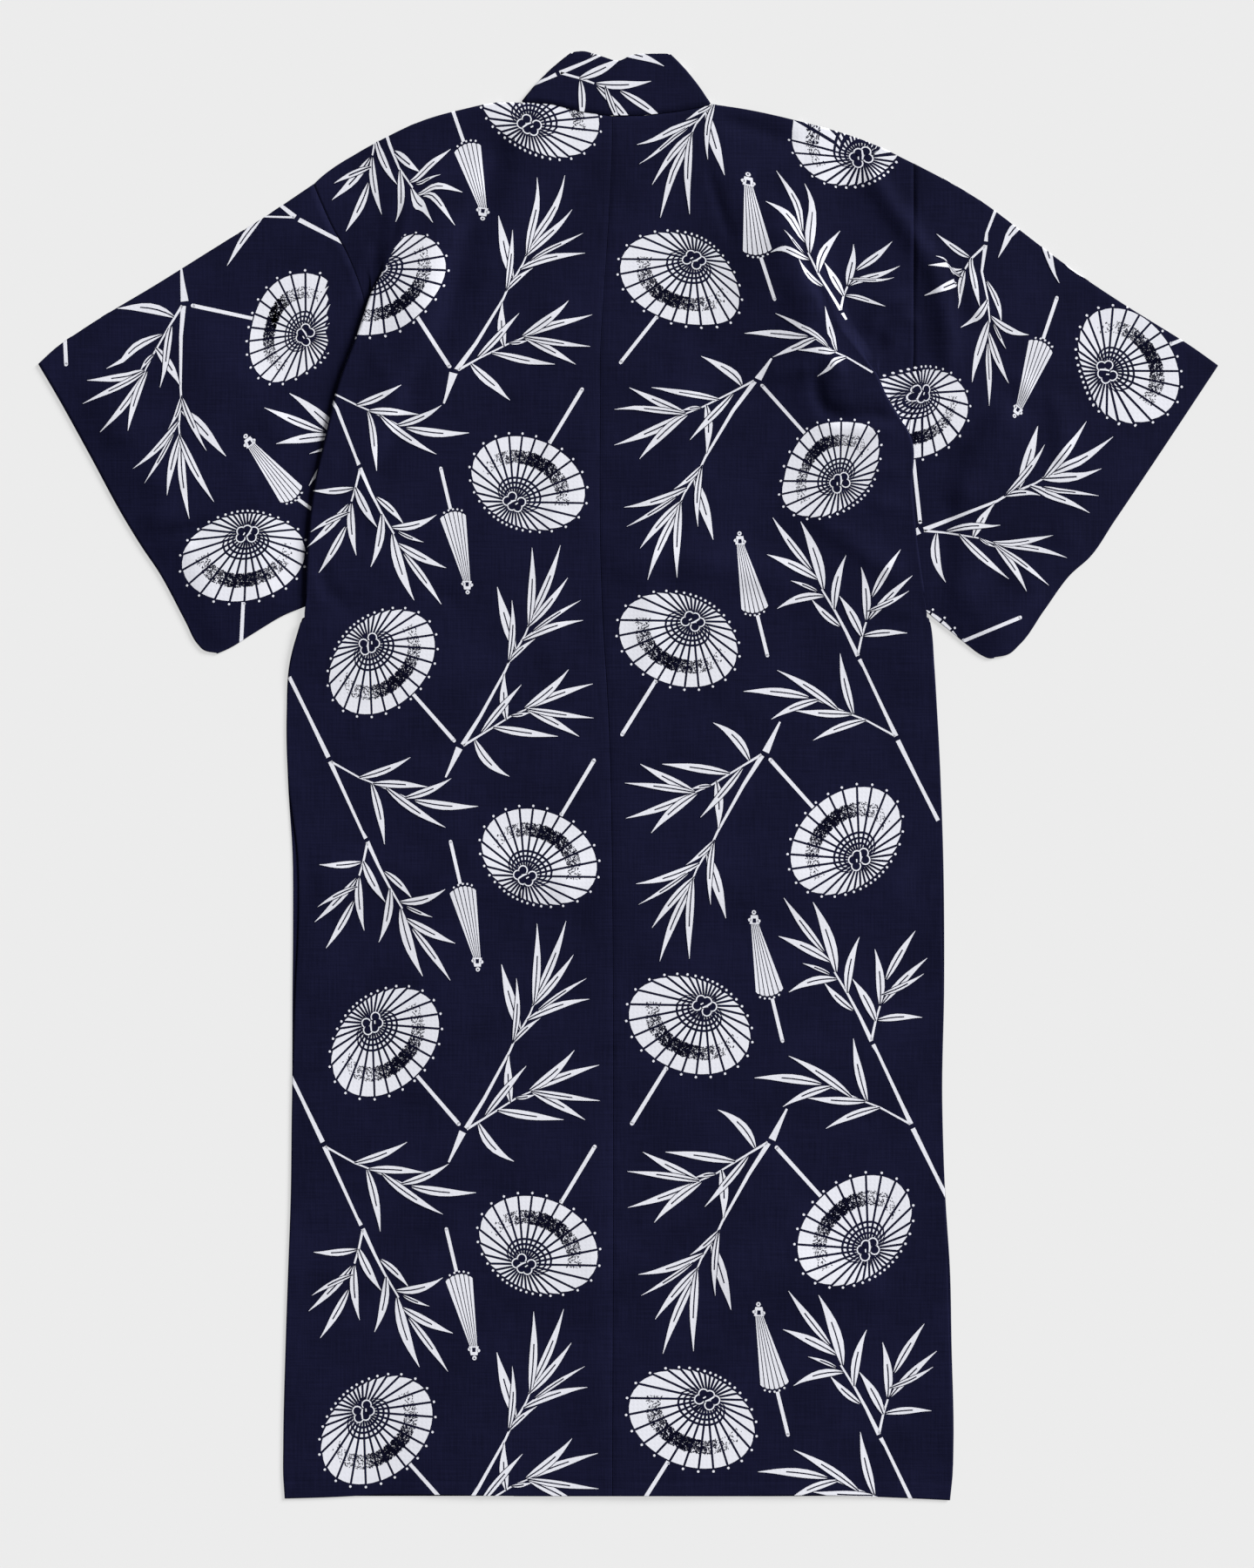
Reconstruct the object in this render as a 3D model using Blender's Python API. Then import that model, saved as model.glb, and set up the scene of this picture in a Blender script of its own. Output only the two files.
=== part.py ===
"""A cotton summer kimono laid flat on its front, with its back up and its sleeves let down.

It is cut as the real one is, from narrow straight cloth: each body panel is one length that runs
from the back hem over the shoulder to the front hem, each sleeve is one length folded into a
tube, and two overlap panels and a double collar band close the front. Seven solids, one for each
cut piece, lie on each other in their real order with 0.3 mm between them.

Tables and sizes are in millimetres. X runs from the centre back seam to the right of the view,
Y runs up from the hem, and Z up from the table. "Outward" is the distance from the centre back
towards a panel's own side, so one function makes the left and the right panel.
"""

import math
from collections import namedtuple

import bmesh
import bpy
import numpy as np
from mathutils import Vector

MM = 0.001

# Driving sizes of the cloth
CLOTH = 1.0  # thickness of a panel's wall
BAND = 1.6  # thickness of the collar, which is folded double
SEAM = 0.4  # gap along a seam, measured across the garment
LAYER = 0.3  # gap between layers that lie on each other
BAND_WIDTH = 62.0  # finished width of the collar
BAND_BOW = 2.5  # how far the collar's slanted folds bow outward
CORNER_ROWS = 1.6  # how strongly a sleeve's rows gather towards the cuff's rounded corner
YOKE = 1198.0  # height at which the overlap panels meet the collar, 225 below the shoulder
ARMPIT = 896.0  # top of the side seams
SLEEVE_PUFF = 3.0  # how far a sleeve's upper layer stands off its lower one
SLEEVE_FOOT = 921.0  # where the sleeve's lower fold meets the body
HIP_FADE = 800.0  # below this height the armhole's fold has gone
ARM_FRONT = 14.0  # width of a front's outermost columns at the sleeve's foot
NECK_TURN = (1.2, 1.6)  # inward and up from the neck point to where the collar's seam turns
OVERLAP_TIP = 12.0  # the overlap panels end this far below the yoke's height

# Where the armhole's cloth turns under, by how far the fold's edge lies beyond the valley
TURN_FROM = -18.0
TURN_OVER = 16.0

# Shares of a back panel's width where its rise to the fold begins and where soft folds fade out
LOFT_FROM = 0.45
FOLDS_TO = 0.85

# Shares of a sleeve's length and depth over which its upper layer lifts off the lower one
PUFF_FROM = 0.3
PUFF_OVER = 0.3
PUFF_CUFF = 0.15
PUFF_EDGE = 0.2

# Levels of the middle of each wall above the table, where the cloth lies flat
FLOOR = CLOTH / 2
OVER = FLOOR + CLOTH + LAYER  # a panel that lies on one layer
UNDER_RUN = OVER + CLOTH + LAYER  # the cloth turned under at the armhole
BAND_LOW = BAND / 2
LIFTED = BAND + LAYER + CLOTH / 2  # the right front, where it lies on the left front's collar
BAND_HIGH = BAND + LAYER + BAND / 2
BACK = 2 * (BAND + LAYER) + CLOTH / 2
BAND_TOP = 2 * (BAND + LAYER) + BAND / 2

# Rows of the panels, as heights above the hem, and as shares of the way from yoke to shoulder
BACK_ROWS = [0, 70, 150, 230, 310, 390, 470, 550, 630, 700, 760, 815, 862, ARMPIT]
ARM_ROWS = [SLEEVE_FOOT, 955, 992, 1030, 1066, 1100, 1133, 1166, YOKE]
FRONT_ROWS = [0, 160, 320, 480, 640, 780, ARMPIT]
OVERLAP_ROWS = [0, 170, 340, 510, 680]
OVERLAP_STEPS = [0.3, 0.6, 0.85, 1.0]  # shares of the way from the collar's foot to the tip
YOKE_STEPS = [0.2, 0.4, 0.6, 0.8, 1.0]
TURN_STEPS = 4  # steps of each half turn of the cloth
NECK_COLUMNS = 3  # columns of a back panel between the centre seam and the neck point
SHOULDER_COLUMNS = 4  # columns from the neck point to the armhole's fold
INNER_COLUMNS = 3  # columns of an overlap panel beside the collar
OUTER_COLUMNS = 2  # and under it
BAND_COLUMNS = 3  # columns of the collar, from its seam to its free edge
BAND_STEPS = 8  # rows of the collar down each front
NECK_STEPS = 12  # rows of the collar behind the neck

# Shares of a sleeve's length, from the armhole to the cuff
SLEEVE_COLUMNS = [0, 0.12, 0.26, 0.4, 0.55, 0.7, 0.85, 0.95, 1.0]

CentreRow = namedtuple("CentreRow", "height x")
CENTRE_SEAM = [
    CentreRow(0, 0.0),
    CentreRow(390, 1.0),
    CentreRow(630, 0.0),
    CentreRow(747, -2.0),
    CentreRow(818, -5.0),
    CentreRow(889, -9.5),
    CentreRow(960, -12.0),
    CentreRow(1103, -12.5),
    CentreRow(1174, -12.0),
    CentreRow(1245, -7.5),
    CentreRow(1316, -3.0),
    CentreRow(1388, 0.0),
    CentreRow(1424, 0.0),
]

NeckRow = namedtuple("NeckRow", "x seam")
NECK_SEAM = [  # the back neck's seam, with one row for each column of the back panels
    NeckRow(-93.5, 1423.0),
    NeckRow(-62.3, 1421.0),
    NeckRow(-31.2, 1413.0),
    NeckRow(0.0, 1409.0),
    NeckRow(33.8, 1409.5),
    NeckRow(67.7, 1413.5),
    NeckRow(101.5, 1420.0),
]

TopRow = namedtuple("TopRow", "x height")
COLLAR_TOP = [  # the collar's upper edge behind the neck, from one slanted end to the other
    TopRow(-42.7, 1473.5),
    TopRow(-28, 1474.5),
    TopRow(-19, 1472.0),
    TopRow(-5, 1467.5),
    TopRow(5, 1464.5),
    TopRow(20, 1470.5),
    TopRow(39, 1472.0),
    TopRow(59.6, 1472.0),
]

HemRow = namedtuple("HemRow", "x height")
HEM = [  # the back's hem, whose corners hang a little lower
    HemRow(-336, -2.6),
    HemRow(-290, -1.2),
    HemRow(-240, 1.2),
    HemRow(-100, 0.6),
    HemRow(150, 0.8),
    HemRow(230, 1.0),
    HemRow(290, -1.6),
    HemRow(348, -4.4),
]

SideRow = namedtuple("SideRow", "height left right left_inset right_inset")
SIDE_SEAM = [  # outward distance of the side seams, and how far the back's edge lies inside them
    SideRow(0, 334.5, 345.0, 0.0, 0.0),
    SideRow(20, 336.0, 347.5, 0.0, 0.0),
    SideRow(50, 336.0, 348.5, 0.0, 0.5),
    SideRow(157, 333.5, 346.5, 0.0, 2.0),
    SideRow(230, 331.0, 345.0, 0.0, 2.5),
    SideRow(300, 328.5, 340.5, 0.0, 0.5),
    SideRow(407, 327.0, 337.0, 0.0, 0.0),
    SideRow(520, 326.5, 339.0, 3.0, 1.0),
    SideRow(585, 326.0, 339.0, 5.5, 2.5),
    SideRow(656, 326.5, 338.0, 5.0, 1.0),
    SideRow(727, 331.0, 335.5, 0.5, 0.0),
    SideRow(798, 332.5, 332.0, 0.0, 0.0),
    SideRow(852, 329.0, 328.5, 0.0, 0.0),
    SideRow(887, 319.5, 325.5, 0.0, 0.0),
    SideRow(903, 314.5, 322.0, 0.0, 0.0),
]

ArmRow = namedtuple("ArmRow", "height fold valley seam loft")
LEFT_ARMHOLE = [  # outward distances of the fold's edge, of the valley under it and of the seam
    ArmRow(903, 315, 284, 290, 1.0),
    ArmRow(921, 313, 281, 288, 1.8),
    ArmRow(960, 311, 272, 279, 2.6),
    ArmRow(1030, 304, 259, 266, 3.2),
    ArmRow(1088, 291, 244, 251, 3.8),
    ArmRow(1130, 281, 237, 245, 4.2),
    ArmRow(1190, 259, 239, 248, 4.4),
    ArmRow(1230, 245, 246, 256, 4.2),
    ArmRow(1250, 234, 246, 263, 4.0),
    ArmRow(1273, 222, 243, 273, 3.4),
    ArmRow(1292, 211, 242, 284, 2.6),
    ArmRow(1320, 208, 252, 297, 1.2),
    ArmRow(1340, 207, 260, 305, 0.6),
    ArmRow(1400, 207, 262, 305, 0.0),
]
RIGHT_ARMHOLE = [
    ArmRow(903, 322, 298, 305, 1.0),
    ArmRow(921, 319, 292, 303, 1.8),
    ArmRow(976, 311, 286, 300, 2.4),
    ArmRow(1030, 306, 284, 301, 2.8),
    ArmRow(1083, 304, 283, 303, 3.4),
    ArmRow(1103, 292, 280, 305, 3.8),
    ArmRow(1123, 280, 277, 306, 4.2),
    ArmRow(1147, 269, 272, 307, 4.6),
    ArmRow(1168, 253, 266, 308, 4.8),
    ArmRow(1194, 233, 249, 308, 4.4),
    ArmRow(1221, 222, 240, 308, 3.8),
    ArmRow(1257, 202, 232, 308, 2.6),
    ArmRow(1320, 198, 240, 308, 1.0),
    ArmRow(1400, 198, 250, 308, 0.0),
]

ShoulderRow = namedtuple("ShoulderRow", "outward height")
LEFT_SHOULDER = [
    ShoulderRow(93.5, 1423.0),
    ShoulderRow(118, 1423.0),
    ShoulderRow(154, 1416.0),
    ShoulderRow(190, 1406.0),
    ShoulderRow(225, 1391.0),
    ShoulderRow(261, 1371.5),
    ShoulderRow(296, 1347.5),
    ShoulderRow(305, 1340.0),
]
RIGHT_SHOULDER = [
    ShoulderRow(101.5, 1421.0),
    ShoulderRow(131, 1417.0),
    ShoulderRow(166, 1410.0),
    ShoulderRow(202, 1401.0),
    ShoulderRow(238, 1391.0),
    ShoulderRow(273, 1378.0),
    ShoulderRow(308, 1361.0),
]

CuffRow = namedtuple("CuffRow", "share outward height")
LEFT_CUFF = [  # the cuff from its upper to its rounded lower corner, by its share of the depth
    CuffRow(0.0, 586.0, 1154.5),
    CuffRow(0.1, 568.5, 1125.0),
    CuffRow(0.3, 534.0, 1063.0),
    CuffRow(0.5, 500.0, 1000.5),
    CuffRow(0.61, 480.0, 968.0),
    CuffRow(0.7, 463.0, 943.0),
    CuffRow(0.85, 436.0, 893.0),
    CuffRow(0.93, 424.0, 870.5),
    CuffRow(0.97, 415.5, 863.0),
    CuffRow(1.0, 404.0, 861.0),
]
RIGHT_CUFF = [
    CuffRow(0.0, 618.5, 1154.0),
    CuffRow(0.3, 555.5, 1059.0),
    CuffRow(0.5, 512.5, 995.0),
    CuffRow(0.62, 487.5, 958.5),
    CuffRow(0.69, 468.0, 941.0),
    CuffRow(0.8, 441.5, 905.0),
    CuffRow(0.92, 416.5, 870.0),
    CuffRow(0.97, 403.0, 859.0),
    CuffRow(1.0, 390.0, 856.5),
]

BulgeRow = namedtuple("BulgeRow", "share sag")
LEFT_TOP_EDGE = [  # how far a sleeve's upper fold lies above the straight line to the cuff
    BulgeRow(0, 0.0),
    BulgeRow(0.2, -0.8),
    BulgeRow(0.35, 1.0),
    BulgeRow(0.55, 2.7),
    BulgeRow(0.85, 6.5),
    BulgeRow(0.94, 5.5),
    BulgeRow(1, 1.0),
]
RIGHT_TOP_EDGE = [
    BulgeRow(0, 0.0),
    BulgeRow(0.12, 5.0),
    BulgeRow(0.23, 7.0),
    BulgeRow(0.35, 3.7),
    BulgeRow(0.46, 0.0),
    BulgeRow(0.69, -1.5),
    BulgeRow(0.8, 0.0),
    BulgeRow(0.92, 1.3),
    BulgeRow(1, 0.0),
]
LEFT_FOOT_EDGE = [  # and how far its lower fold lies under the straight line
    BulgeRow(0, 0.0),
    BulgeRow(0.22, -1.5),
    BulgeRow(0.4, -3.8),
    BulgeRow(0.69, -1.3),
    BulgeRow(0.9, 1.0),
    BulgeRow(1, 0.0),
]
RIGHT_FOOT_EDGE = [
    BulgeRow(0, 0.0),
    BulgeRow(0.22, 4.0),
    BulgeRow(0.49, 5.5),
    BulgeRow(0.69, 6.7),
    BulgeRow(0.85, 6.5),
    BulgeRow(0.95, 3.5),
    BulgeRow(1, 0.0),
]

FoldRow = namedtuple("FoldRow", "x0 y0 x1 y1 width height")
SOFT_FOLDS = [  # soft ridges of the upper back, each along a straight run
    FoldRow(-96, 1370, -128, 1240, 34, 2.2),
    FoldRow(-128, 1240, -160, 1130, 30, 1.8),
    FoldRow(-175, 1330, -190, 1200, 34, 2.6),
    FoldRow(-190, 1200, -240, 1020, 30, 2.0),
    FoldRow(118, 1350, 150, 1250, 30, 2.0),
    FoldRow(178, 1300, 218, 1160, 30, 2.4),
    FoldRow(212, 1140, 262, 1095, 26, 2.4),
]

Side = namedtuple(
    "Side",
    "name sign neck overlap_seam overlap_edge armhole shoulder cuff top_edge foot_edge"
    " slope_from slope_to front_level front_from front_to band_level band_foot",
)
LEFT = Side(
    name="left",
    sign=-1,
    neck=(93.5, 1423.0),
    overlap_seam=38.0,
    overlap_edge=-113.0,
    armhole=LEFT_ARMHOLE,
    shoulder=LEFT_SHOULDER,
    cuff=LEFT_CUFF,
    top_edge=LEFT_TOP_EDGE,
    foot_edge=LEFT_FOOT_EDGE,
    slope_from=150.0,
    slope_to=270.0,
    front_level=FLOOR,
    front_from=150.0,
    front_to=230.0,
    band_level=BAND_LOW,
    band_foot=845.0,
)
RIGHT = Side(
    name="right",
    sign=1,
    neck=(101.5, 1420.0),
    overlap_seam=50.5,
    overlap_edge=-100.5,
    armhole=RIGHT_ARMHOLE,
    shoulder=RIGHT_SHOULDER,
    cuff=RIGHT_CUFF,
    top_edge=RIGHT_TOP_EDGE,
    foot_edge=RIGHT_FOOT_EDGE,
    slope_from=170.0,
    slope_to=290.0,
    front_level=LIFTED,
    front_from=150.0,
    front_to=230.0,
    band_level=BAND_HIGH,
    band_foot=815.0,
)

NAVY = (0.0092, 0.0102, 0.0284, 1.0)
CLOTH_ROUGHNESS = 0.85

Row = namedtuple("Row", "layer height rise angle")


def clear_scene():
    for obj in list(bpy.data.objects):
        bpy.data.objects.remove(obj, do_unlink=True)


def cotton():
    """The cloth's plain ground. Its print is no part of the solids."""
    material = bpy.data.materials.new("navy_cotton")
    material.use_nodes = True
    shader = material.node_tree.nodes["Principled BSDF"]
    shader.inputs["Base Color"].default_value = NAVY
    shader.inputs["Roughness"].default_value = CLOTH_ROUGHNESS
    shader.inputs["Metallic"].default_value = 0.0
    material.diffuse_color = NAVY
    return material


def mix(a, b, share):
    """The value a share of the way from a to b."""
    return a + (b - a) * share


def ease(share):
    """A smooth step from 0 to 1."""
    share = min(max(share, 0.0), 1.0)
    return share * share * (3 - 2 * share)


def curve(knots, values):
    """A smooth function through the rows of a table, level with its ends beyond them."""
    knots, values = np.array(knots, float), np.array(values, float)
    slopes = np.gradient(values, knots)

    def at(t):
        t = min(max(t, knots[0]), knots[-1])
        i = min(int(np.searchsorted(knots, t, side="right")) - 1, len(knots) - 2)
        step = knots[i + 1] - knots[i]
        s = (t - knots[i]) / step
        start = (1 + 2 * s) * (1 - s) ** 2 * values[i] + s * (1 - s) ** 2 * step * slopes[i]
        end = s * s * (3 - 2 * s) * values[i + 1] + s * s * (s - 1) * step * slopes[i + 1]
        return start + end

    return at


def column(table, key, value):
    """A smooth function of one named column of a table over another."""
    return curve([getattr(r, key) for r in table], [getattr(r, value) for r in table])


centre_x = column(CENTRE_SEAM, "height", "x")
hem_height = column(HEM, "x", "height")
side_out = {s.name: column(SIDE_SEAM, "height", s.name) for s in (LEFT, RIGHT)}
side_inset = {s.name: column(SIDE_SEAM, "height", s.name + "_inset") for s in (LEFT, RIGHT)}
arm = {
    s.name: {key: column(s.armhole, "height", key) for key in ("fold", "valley", "seam", "loft")}
    for s in (LEFT, RIGHT)
}
shoulder = {s.name: column(s.shoulder, "outward", "height") for s in (LEFT, RIGHT)}
cuff = {
    s.name: {key: column(s.cuff, "share", key) for key in ("outward", "height")}
    for s in (LEFT, RIGHT)
}
collar_top = column(COLLAR_TOP, "x", "height")


def neck_seam(x):
    """Height of the back neck's seam, straight between the panels' columns."""
    return float(np.interp(x, [r.x for r in NECK_SEAM], [r.seam for r in NECK_SEAM]))


def soft_folds(x, y):
    """Height that the soft ridges add to the back at a place."""
    total = 0.0
    for f in SOFT_FOLDS:
        run = Vector((f.x1 - f.x0, f.y1 - f.y0))
        way = Vector((x - f.x0, y - f.y0))
        share = min(max(way.dot(run) / run.length_squared, 0.0), 1.0)
        away = (way - run * share).length
        total += f.height * math.exp(-((away / f.width) ** 2))
    return total


def back_level(side, out, height, share):
    """Level of a back panel. It slopes to the side seam, and stands up at the armhole's fold."""
    slope = ease((out - side.slope_from) / (side.slope_to - side.slope_from))
    low = mix(BACK, OVER, slope)
    high = BACK + arm[side.name]["loft"](height) * ease((share - LOFT_FROM) / (1 - LOFT_FROM))
    fade = ease((share - FOLDS_TO) / (1 - FOLDS_TO))
    high += soft_folds(side.sign * out, height) * (1 - fade)
    return mix(low, high, ease((height - HIP_FADE) / (ARMPIT - HIP_FADE)))


def front_level(side, out):
    """Level of a front panel. The right one comes down from the left front to the table."""
    share = (out - side.front_from) / (side.front_to - side.front_from)
    return mix(side.front_level, FLOOR, ease(share))


def front_slant(side):
    """How far the front neck edge moves to the centre for each millimetre down."""
    return (side.neck[0] - side.overlap_seam) / (side.neck[1] - YOKE)


def neck_edge(side, height):
    """Outward distance of the seam between the front and the collar."""
    return side.neck[0] - front_slant(side) * (side.neck[1] - height)


def half_turn(steps, start, radius, centre):
    """Points (along, level) of a half circle that turns cloth under, from its top to its foot."""
    points = []
    for i in range(1, steps + 1):
        angle = math.pi / 2 - math.pi * i / steps
        points.append((start + radius * math.cos(angle), centre + radius * math.sin(angle)))
    return points


def armhole_section(side, height):
    """Points (outward, level) from the fold's edge to the armhole's seam at one height.

    Low down the cloth turns under at the fold, runs in to the valley, turns again and runs out to
    the seam. Near the shoulder the same cloth lies open, with a dip at the valley.
    """
    at = {key: line(height) for key, line in arm[side.name].items()}
    top = BACK + at["loft"]
    seam = at["seam"] - SEAM / 2
    radius = (top - UNDER_RUN) / 2
    edge = at["fold"] - radius
    folded = half_turn(TURN_STEPS, edge, radius, UNDER_RUN + radius)
    small = (UNDER_RUN - OVER) / 2
    inner = at["valley"] + small
    folded.append((inner, UNDER_RUN))
    for out, level in half_turn(TURN_STEPS - 1, inner, small, OVER + small):
        folded.append((2 * inner - out, level))
    folded.append((mix(inner, seam, 0.5), OVER))
    folded.append((seam, OVER))
    dip = TURN_STEPS + 1
    flat = []
    for i in range(1, len(folded) + 1):
        if i <= dip:
            share = i / dip
            flat.append((mix(edge, at["valley"], share), mix(top, OVER, ease(share))))
        else:
            share = (i - dip) / (len(folded) - dip)
            flat.append((mix(at["valley"], seam, share), OVER))
    fold = ease((at["fold"] - at["valley"] - TURN_FROM) / TURN_OVER)
    return [(mix(a[0], b[0], fold), mix(a[1], b[1], fold)) for a, b in zip(flat, folded)]


ARM_COLUMNS = len(armhole_section(LEFT, SLEEVE_FOOT))


def panel_rows():
    """The rows of a body panel, from the back hem over the shoulder to the front hem."""
    up = [Row("back", h, 0.0, 0.0) for h in BACK_ROWS + ARM_ROWS]
    up += [Row("back", YOKE, s, 0.0) for s in YOKE_STEPS]
    turn = [Row("turn", YOKE, 1.0, math.pi * i / TURN_STEPS) for i in range(1, TURN_STEPS)]
    down = [Row("front", YOKE, s, 0.0) for s in reversed(YOKE_STEPS)]
    down += [Row("front", h, 0.0, 0.0) for h in reversed(FRONT_ROWS + ARM_ROWS)]
    return up + turn + down


def column_share(side, i):
    """Share of the way from the centre seam to the armhole's fold for a column of the panel."""
    neck_share = side.neck[0] / arm[side.name]["fold"](side.neck[1])
    if i <= NECK_COLUMNS:
        return neck_share * i / NECK_COLUMNS
    return mix(neck_share, 1.0, (i - NECK_COLUMNS) / SHOULDER_COLUMNS)


def column_top(side, i):
    """Height of a column's upper end, on the neck seam or on the shoulder's outline."""
    out = back_point(side, side.neck[1], i)[0]
    if i < NECK_COLUMNS:
        return neck_seam(side.sign * out) - SEAM / 2
    return shoulder[side.name](out)


def back_point(side, height, i):
    """(outward, level) of a column of the back panel at a height."""
    fold_column = NECK_COLUMNS + SHOULDER_COLUMNS
    if i > fold_column:
        return armhole_section(side, height)[i - fold_column - 1]
    middle = side.sign * centre_x(height) + SEAM / 2
    edge = side_out[side.name](height) - side_inset[side.name](height)
    if height > ARMPIT:
        at = arm[side.name]
        edge = at["fold"](height) - (BACK + at["loft"](height) - UNDER_RUN) / 2
    share = column_share(side, i)
    out = mix(middle, edge, share)
    return out, back_level(side, out, height, share)


def front_point(side, height, i):
    """(outward, level) of a column of the front panel at a height."""
    fold_column = NECK_COLUMNS + SHOULDER_COLUMNS
    at = arm[side.name]
    inner = max(neck_edge(side, height), side.overlap_seam) + SEAM / 2
    outer = side_out[side.name](height)
    if height > ARMPIT:
        rise = (height - SLEEVE_FOOT) / (side.shoulder[-1].height - SLEEVE_FOOT)
        seam = at["seam"](height) - SEAM / 2
        width = mix(ARM_FRONT, at["seam"](side.neck[1]) - at["fold"](side.neck[1]), ease(rise))
        outer = seam - width
    if i > fold_column:
        out = mix(outer, seam, (i - fold_column) / ARM_COLUMNS)
    else:
        out = mix(inner, outer, (i - NECK_COLUMNS) / SHOULDER_COLUMNS)
    return out, front_level(side, out)


def panel_point(side, row, i):
    """A point of the middle of a body panel."""
    top = column_top(side, i)
    if i >= NECK_COLUMNS:
        outline = top - CLOTH / 2
        top = outline - (back_point(side, top, i)[1] - front_point(side, top, i)[1]) / 2
    y = mix(row.height, top, row.rise)
    if row.layer == "turn":
        back_out, back = back_point(side, top, i)
        front_out, front = front_point(side, top, i)
        out = mix(back_out, front_out, row.angle / math.pi)
        level = mix(back, front, (1 - math.cos(row.angle)) / 2)
        y = mix(top, outline, math.sin(row.angle))
    elif row.layer == "back":
        out, level = back_point(side, y, i)
    else:
        out, level = front_point(side, y, i)
    if row.layer == "back" and row.height == 0:
        y = hem_height(side.sign * out)
    return Vector((side.sign * out, y, level))


def sheet(name, points, thickness, material, present=None, ring=False):
    """A cloth wall: a grid of points down the middle of the cloth, thickened on both sides."""
    mesh = bmesh.new()
    made = {}

    def vertex(i, j):
        if (i, j) not in made:
            made[i, j] = mesh.verts.new(points[i][j] * MM)
        return made[i, j]

    rows = len(points)
    for i in range(rows if ring else rows - 1):
        for j in range(len(points[0]) - 1):
            if present is None or present(i, j):
                below = (i + 1) % rows
                corners = [(i, j), (i, j + 1), (below, j + 1), (below, j)]
                mesh.faces.new([vertex(*corner) for corner in corners])
    data = bpy.data.meshes.new(name)
    mesh.to_mesh(data)
    mesh.free()
    data.shade_smooth()
    data.materials.append(material)
    obj = bpy.data.objects.new(name, data)
    bpy.context.scene.collection.objects.link(obj)
    wall = obj.modifiers.new("wall", "SOLIDIFY")
    wall.thickness = thickness * MM
    wall.offset = 0.0
    wall.use_even_offset = True
    wall.use_rim = True
    return obj


def body_panel(side, material):
    """One length of cloth: the back, the shoulder and the front of one side."""
    rows = panel_rows()
    fold_column = NECK_COLUMNS + SHOULDER_COLUMNS
    last_column = fold_column + ARM_COLUMNS
    shoulder_row = len(BACK_ROWS + ARM_ROWS + YOKE_STEPS) - 1
    arm_from = len(BACK_ROWS)
    arm_to = len(rows) - 1 - len(FRONT_ROWS)
    points = []
    for number, row in enumerate(rows):
        line = []
        for i in range(last_column + 1):
            inside = i <= fold_column or arm_from <= number <= arm_to
            needed = inside and (i >= NECK_COLUMNS or number <= shoulder_row)
            line.append(panel_point(side, row, i) if needed else None)
        points.append(line)

    def present(i, j):
        if j < NECK_COLUMNS:
            return i < shoulder_row
        if j >= fold_column:
            return arm_from <= i < arm_to
        return True

    return sheet("body_" + side.name, points, CLOTH, material, present)


def overlap_panel(side, material):
    """The narrow panel that widens the front, cut away under the collar."""
    inner = side.overlap_seam - SEAM / 2
    foot = side.band_foot - SEAM
    corner = neck_edge(side, side.band_foot)
    upper = [mix(foot, YOKE - OVERLAP_TIP, s) for s in OVERLAP_STEPS]
    points = []
    for height in [*OVERLAP_ROWS, foot, *upper]:
        edge = neck_edge(side, height) + SEAM / 2 if height > foot else corner
        line = []
        for i in range(INNER_COLUMNS + 1):
            line.append(mix(inner, edge, i / INNER_COLUMNS))
        for i in range(1, OUTER_COLUMNS + 1):
            line.append(mix(edge, side.overlap_edge, i / OUTER_COLUMNS))
        points.append([Vector((side.sign * out, height, side.front_level)) for out in line])

    def present(i, j):
        return i < len(OVERLAP_ROWS) or j < INNER_COLUMNS

    return sheet("overlap_" + side.name, points, CLOTH, material, present)


def sleeve_seam(side):
    """(outward, height) of the armhole's seam, at the same rows as the body panel."""
    top = shoulder[side.name](arm[side.name]["seam"](side.neck[1]) - SEAM / 2)
    top -= CLOTH / 2 + (OVER - FLOOR) / 2
    heights = ARM_ROWS + [mix(YOKE, top, s) for s in YOKE_STEPS]
    return [(arm[side.name]["seam"](h) + SEAM / 2, h) for h in reversed(heights)]


def sleeve_puff(share, depth):
    """How far a sleeve's upper layer stands off its lower one, away from its four edges."""
    along = ease((share - PUFF_FROM) / PUFF_OVER) * ease((1 - share) / PUFF_CUFF)
    across = ease(depth / PUFF_EDGE) * ease((1 - depth) / PUFF_EDGE)
    return SLEEVE_PUFF * along * across


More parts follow.
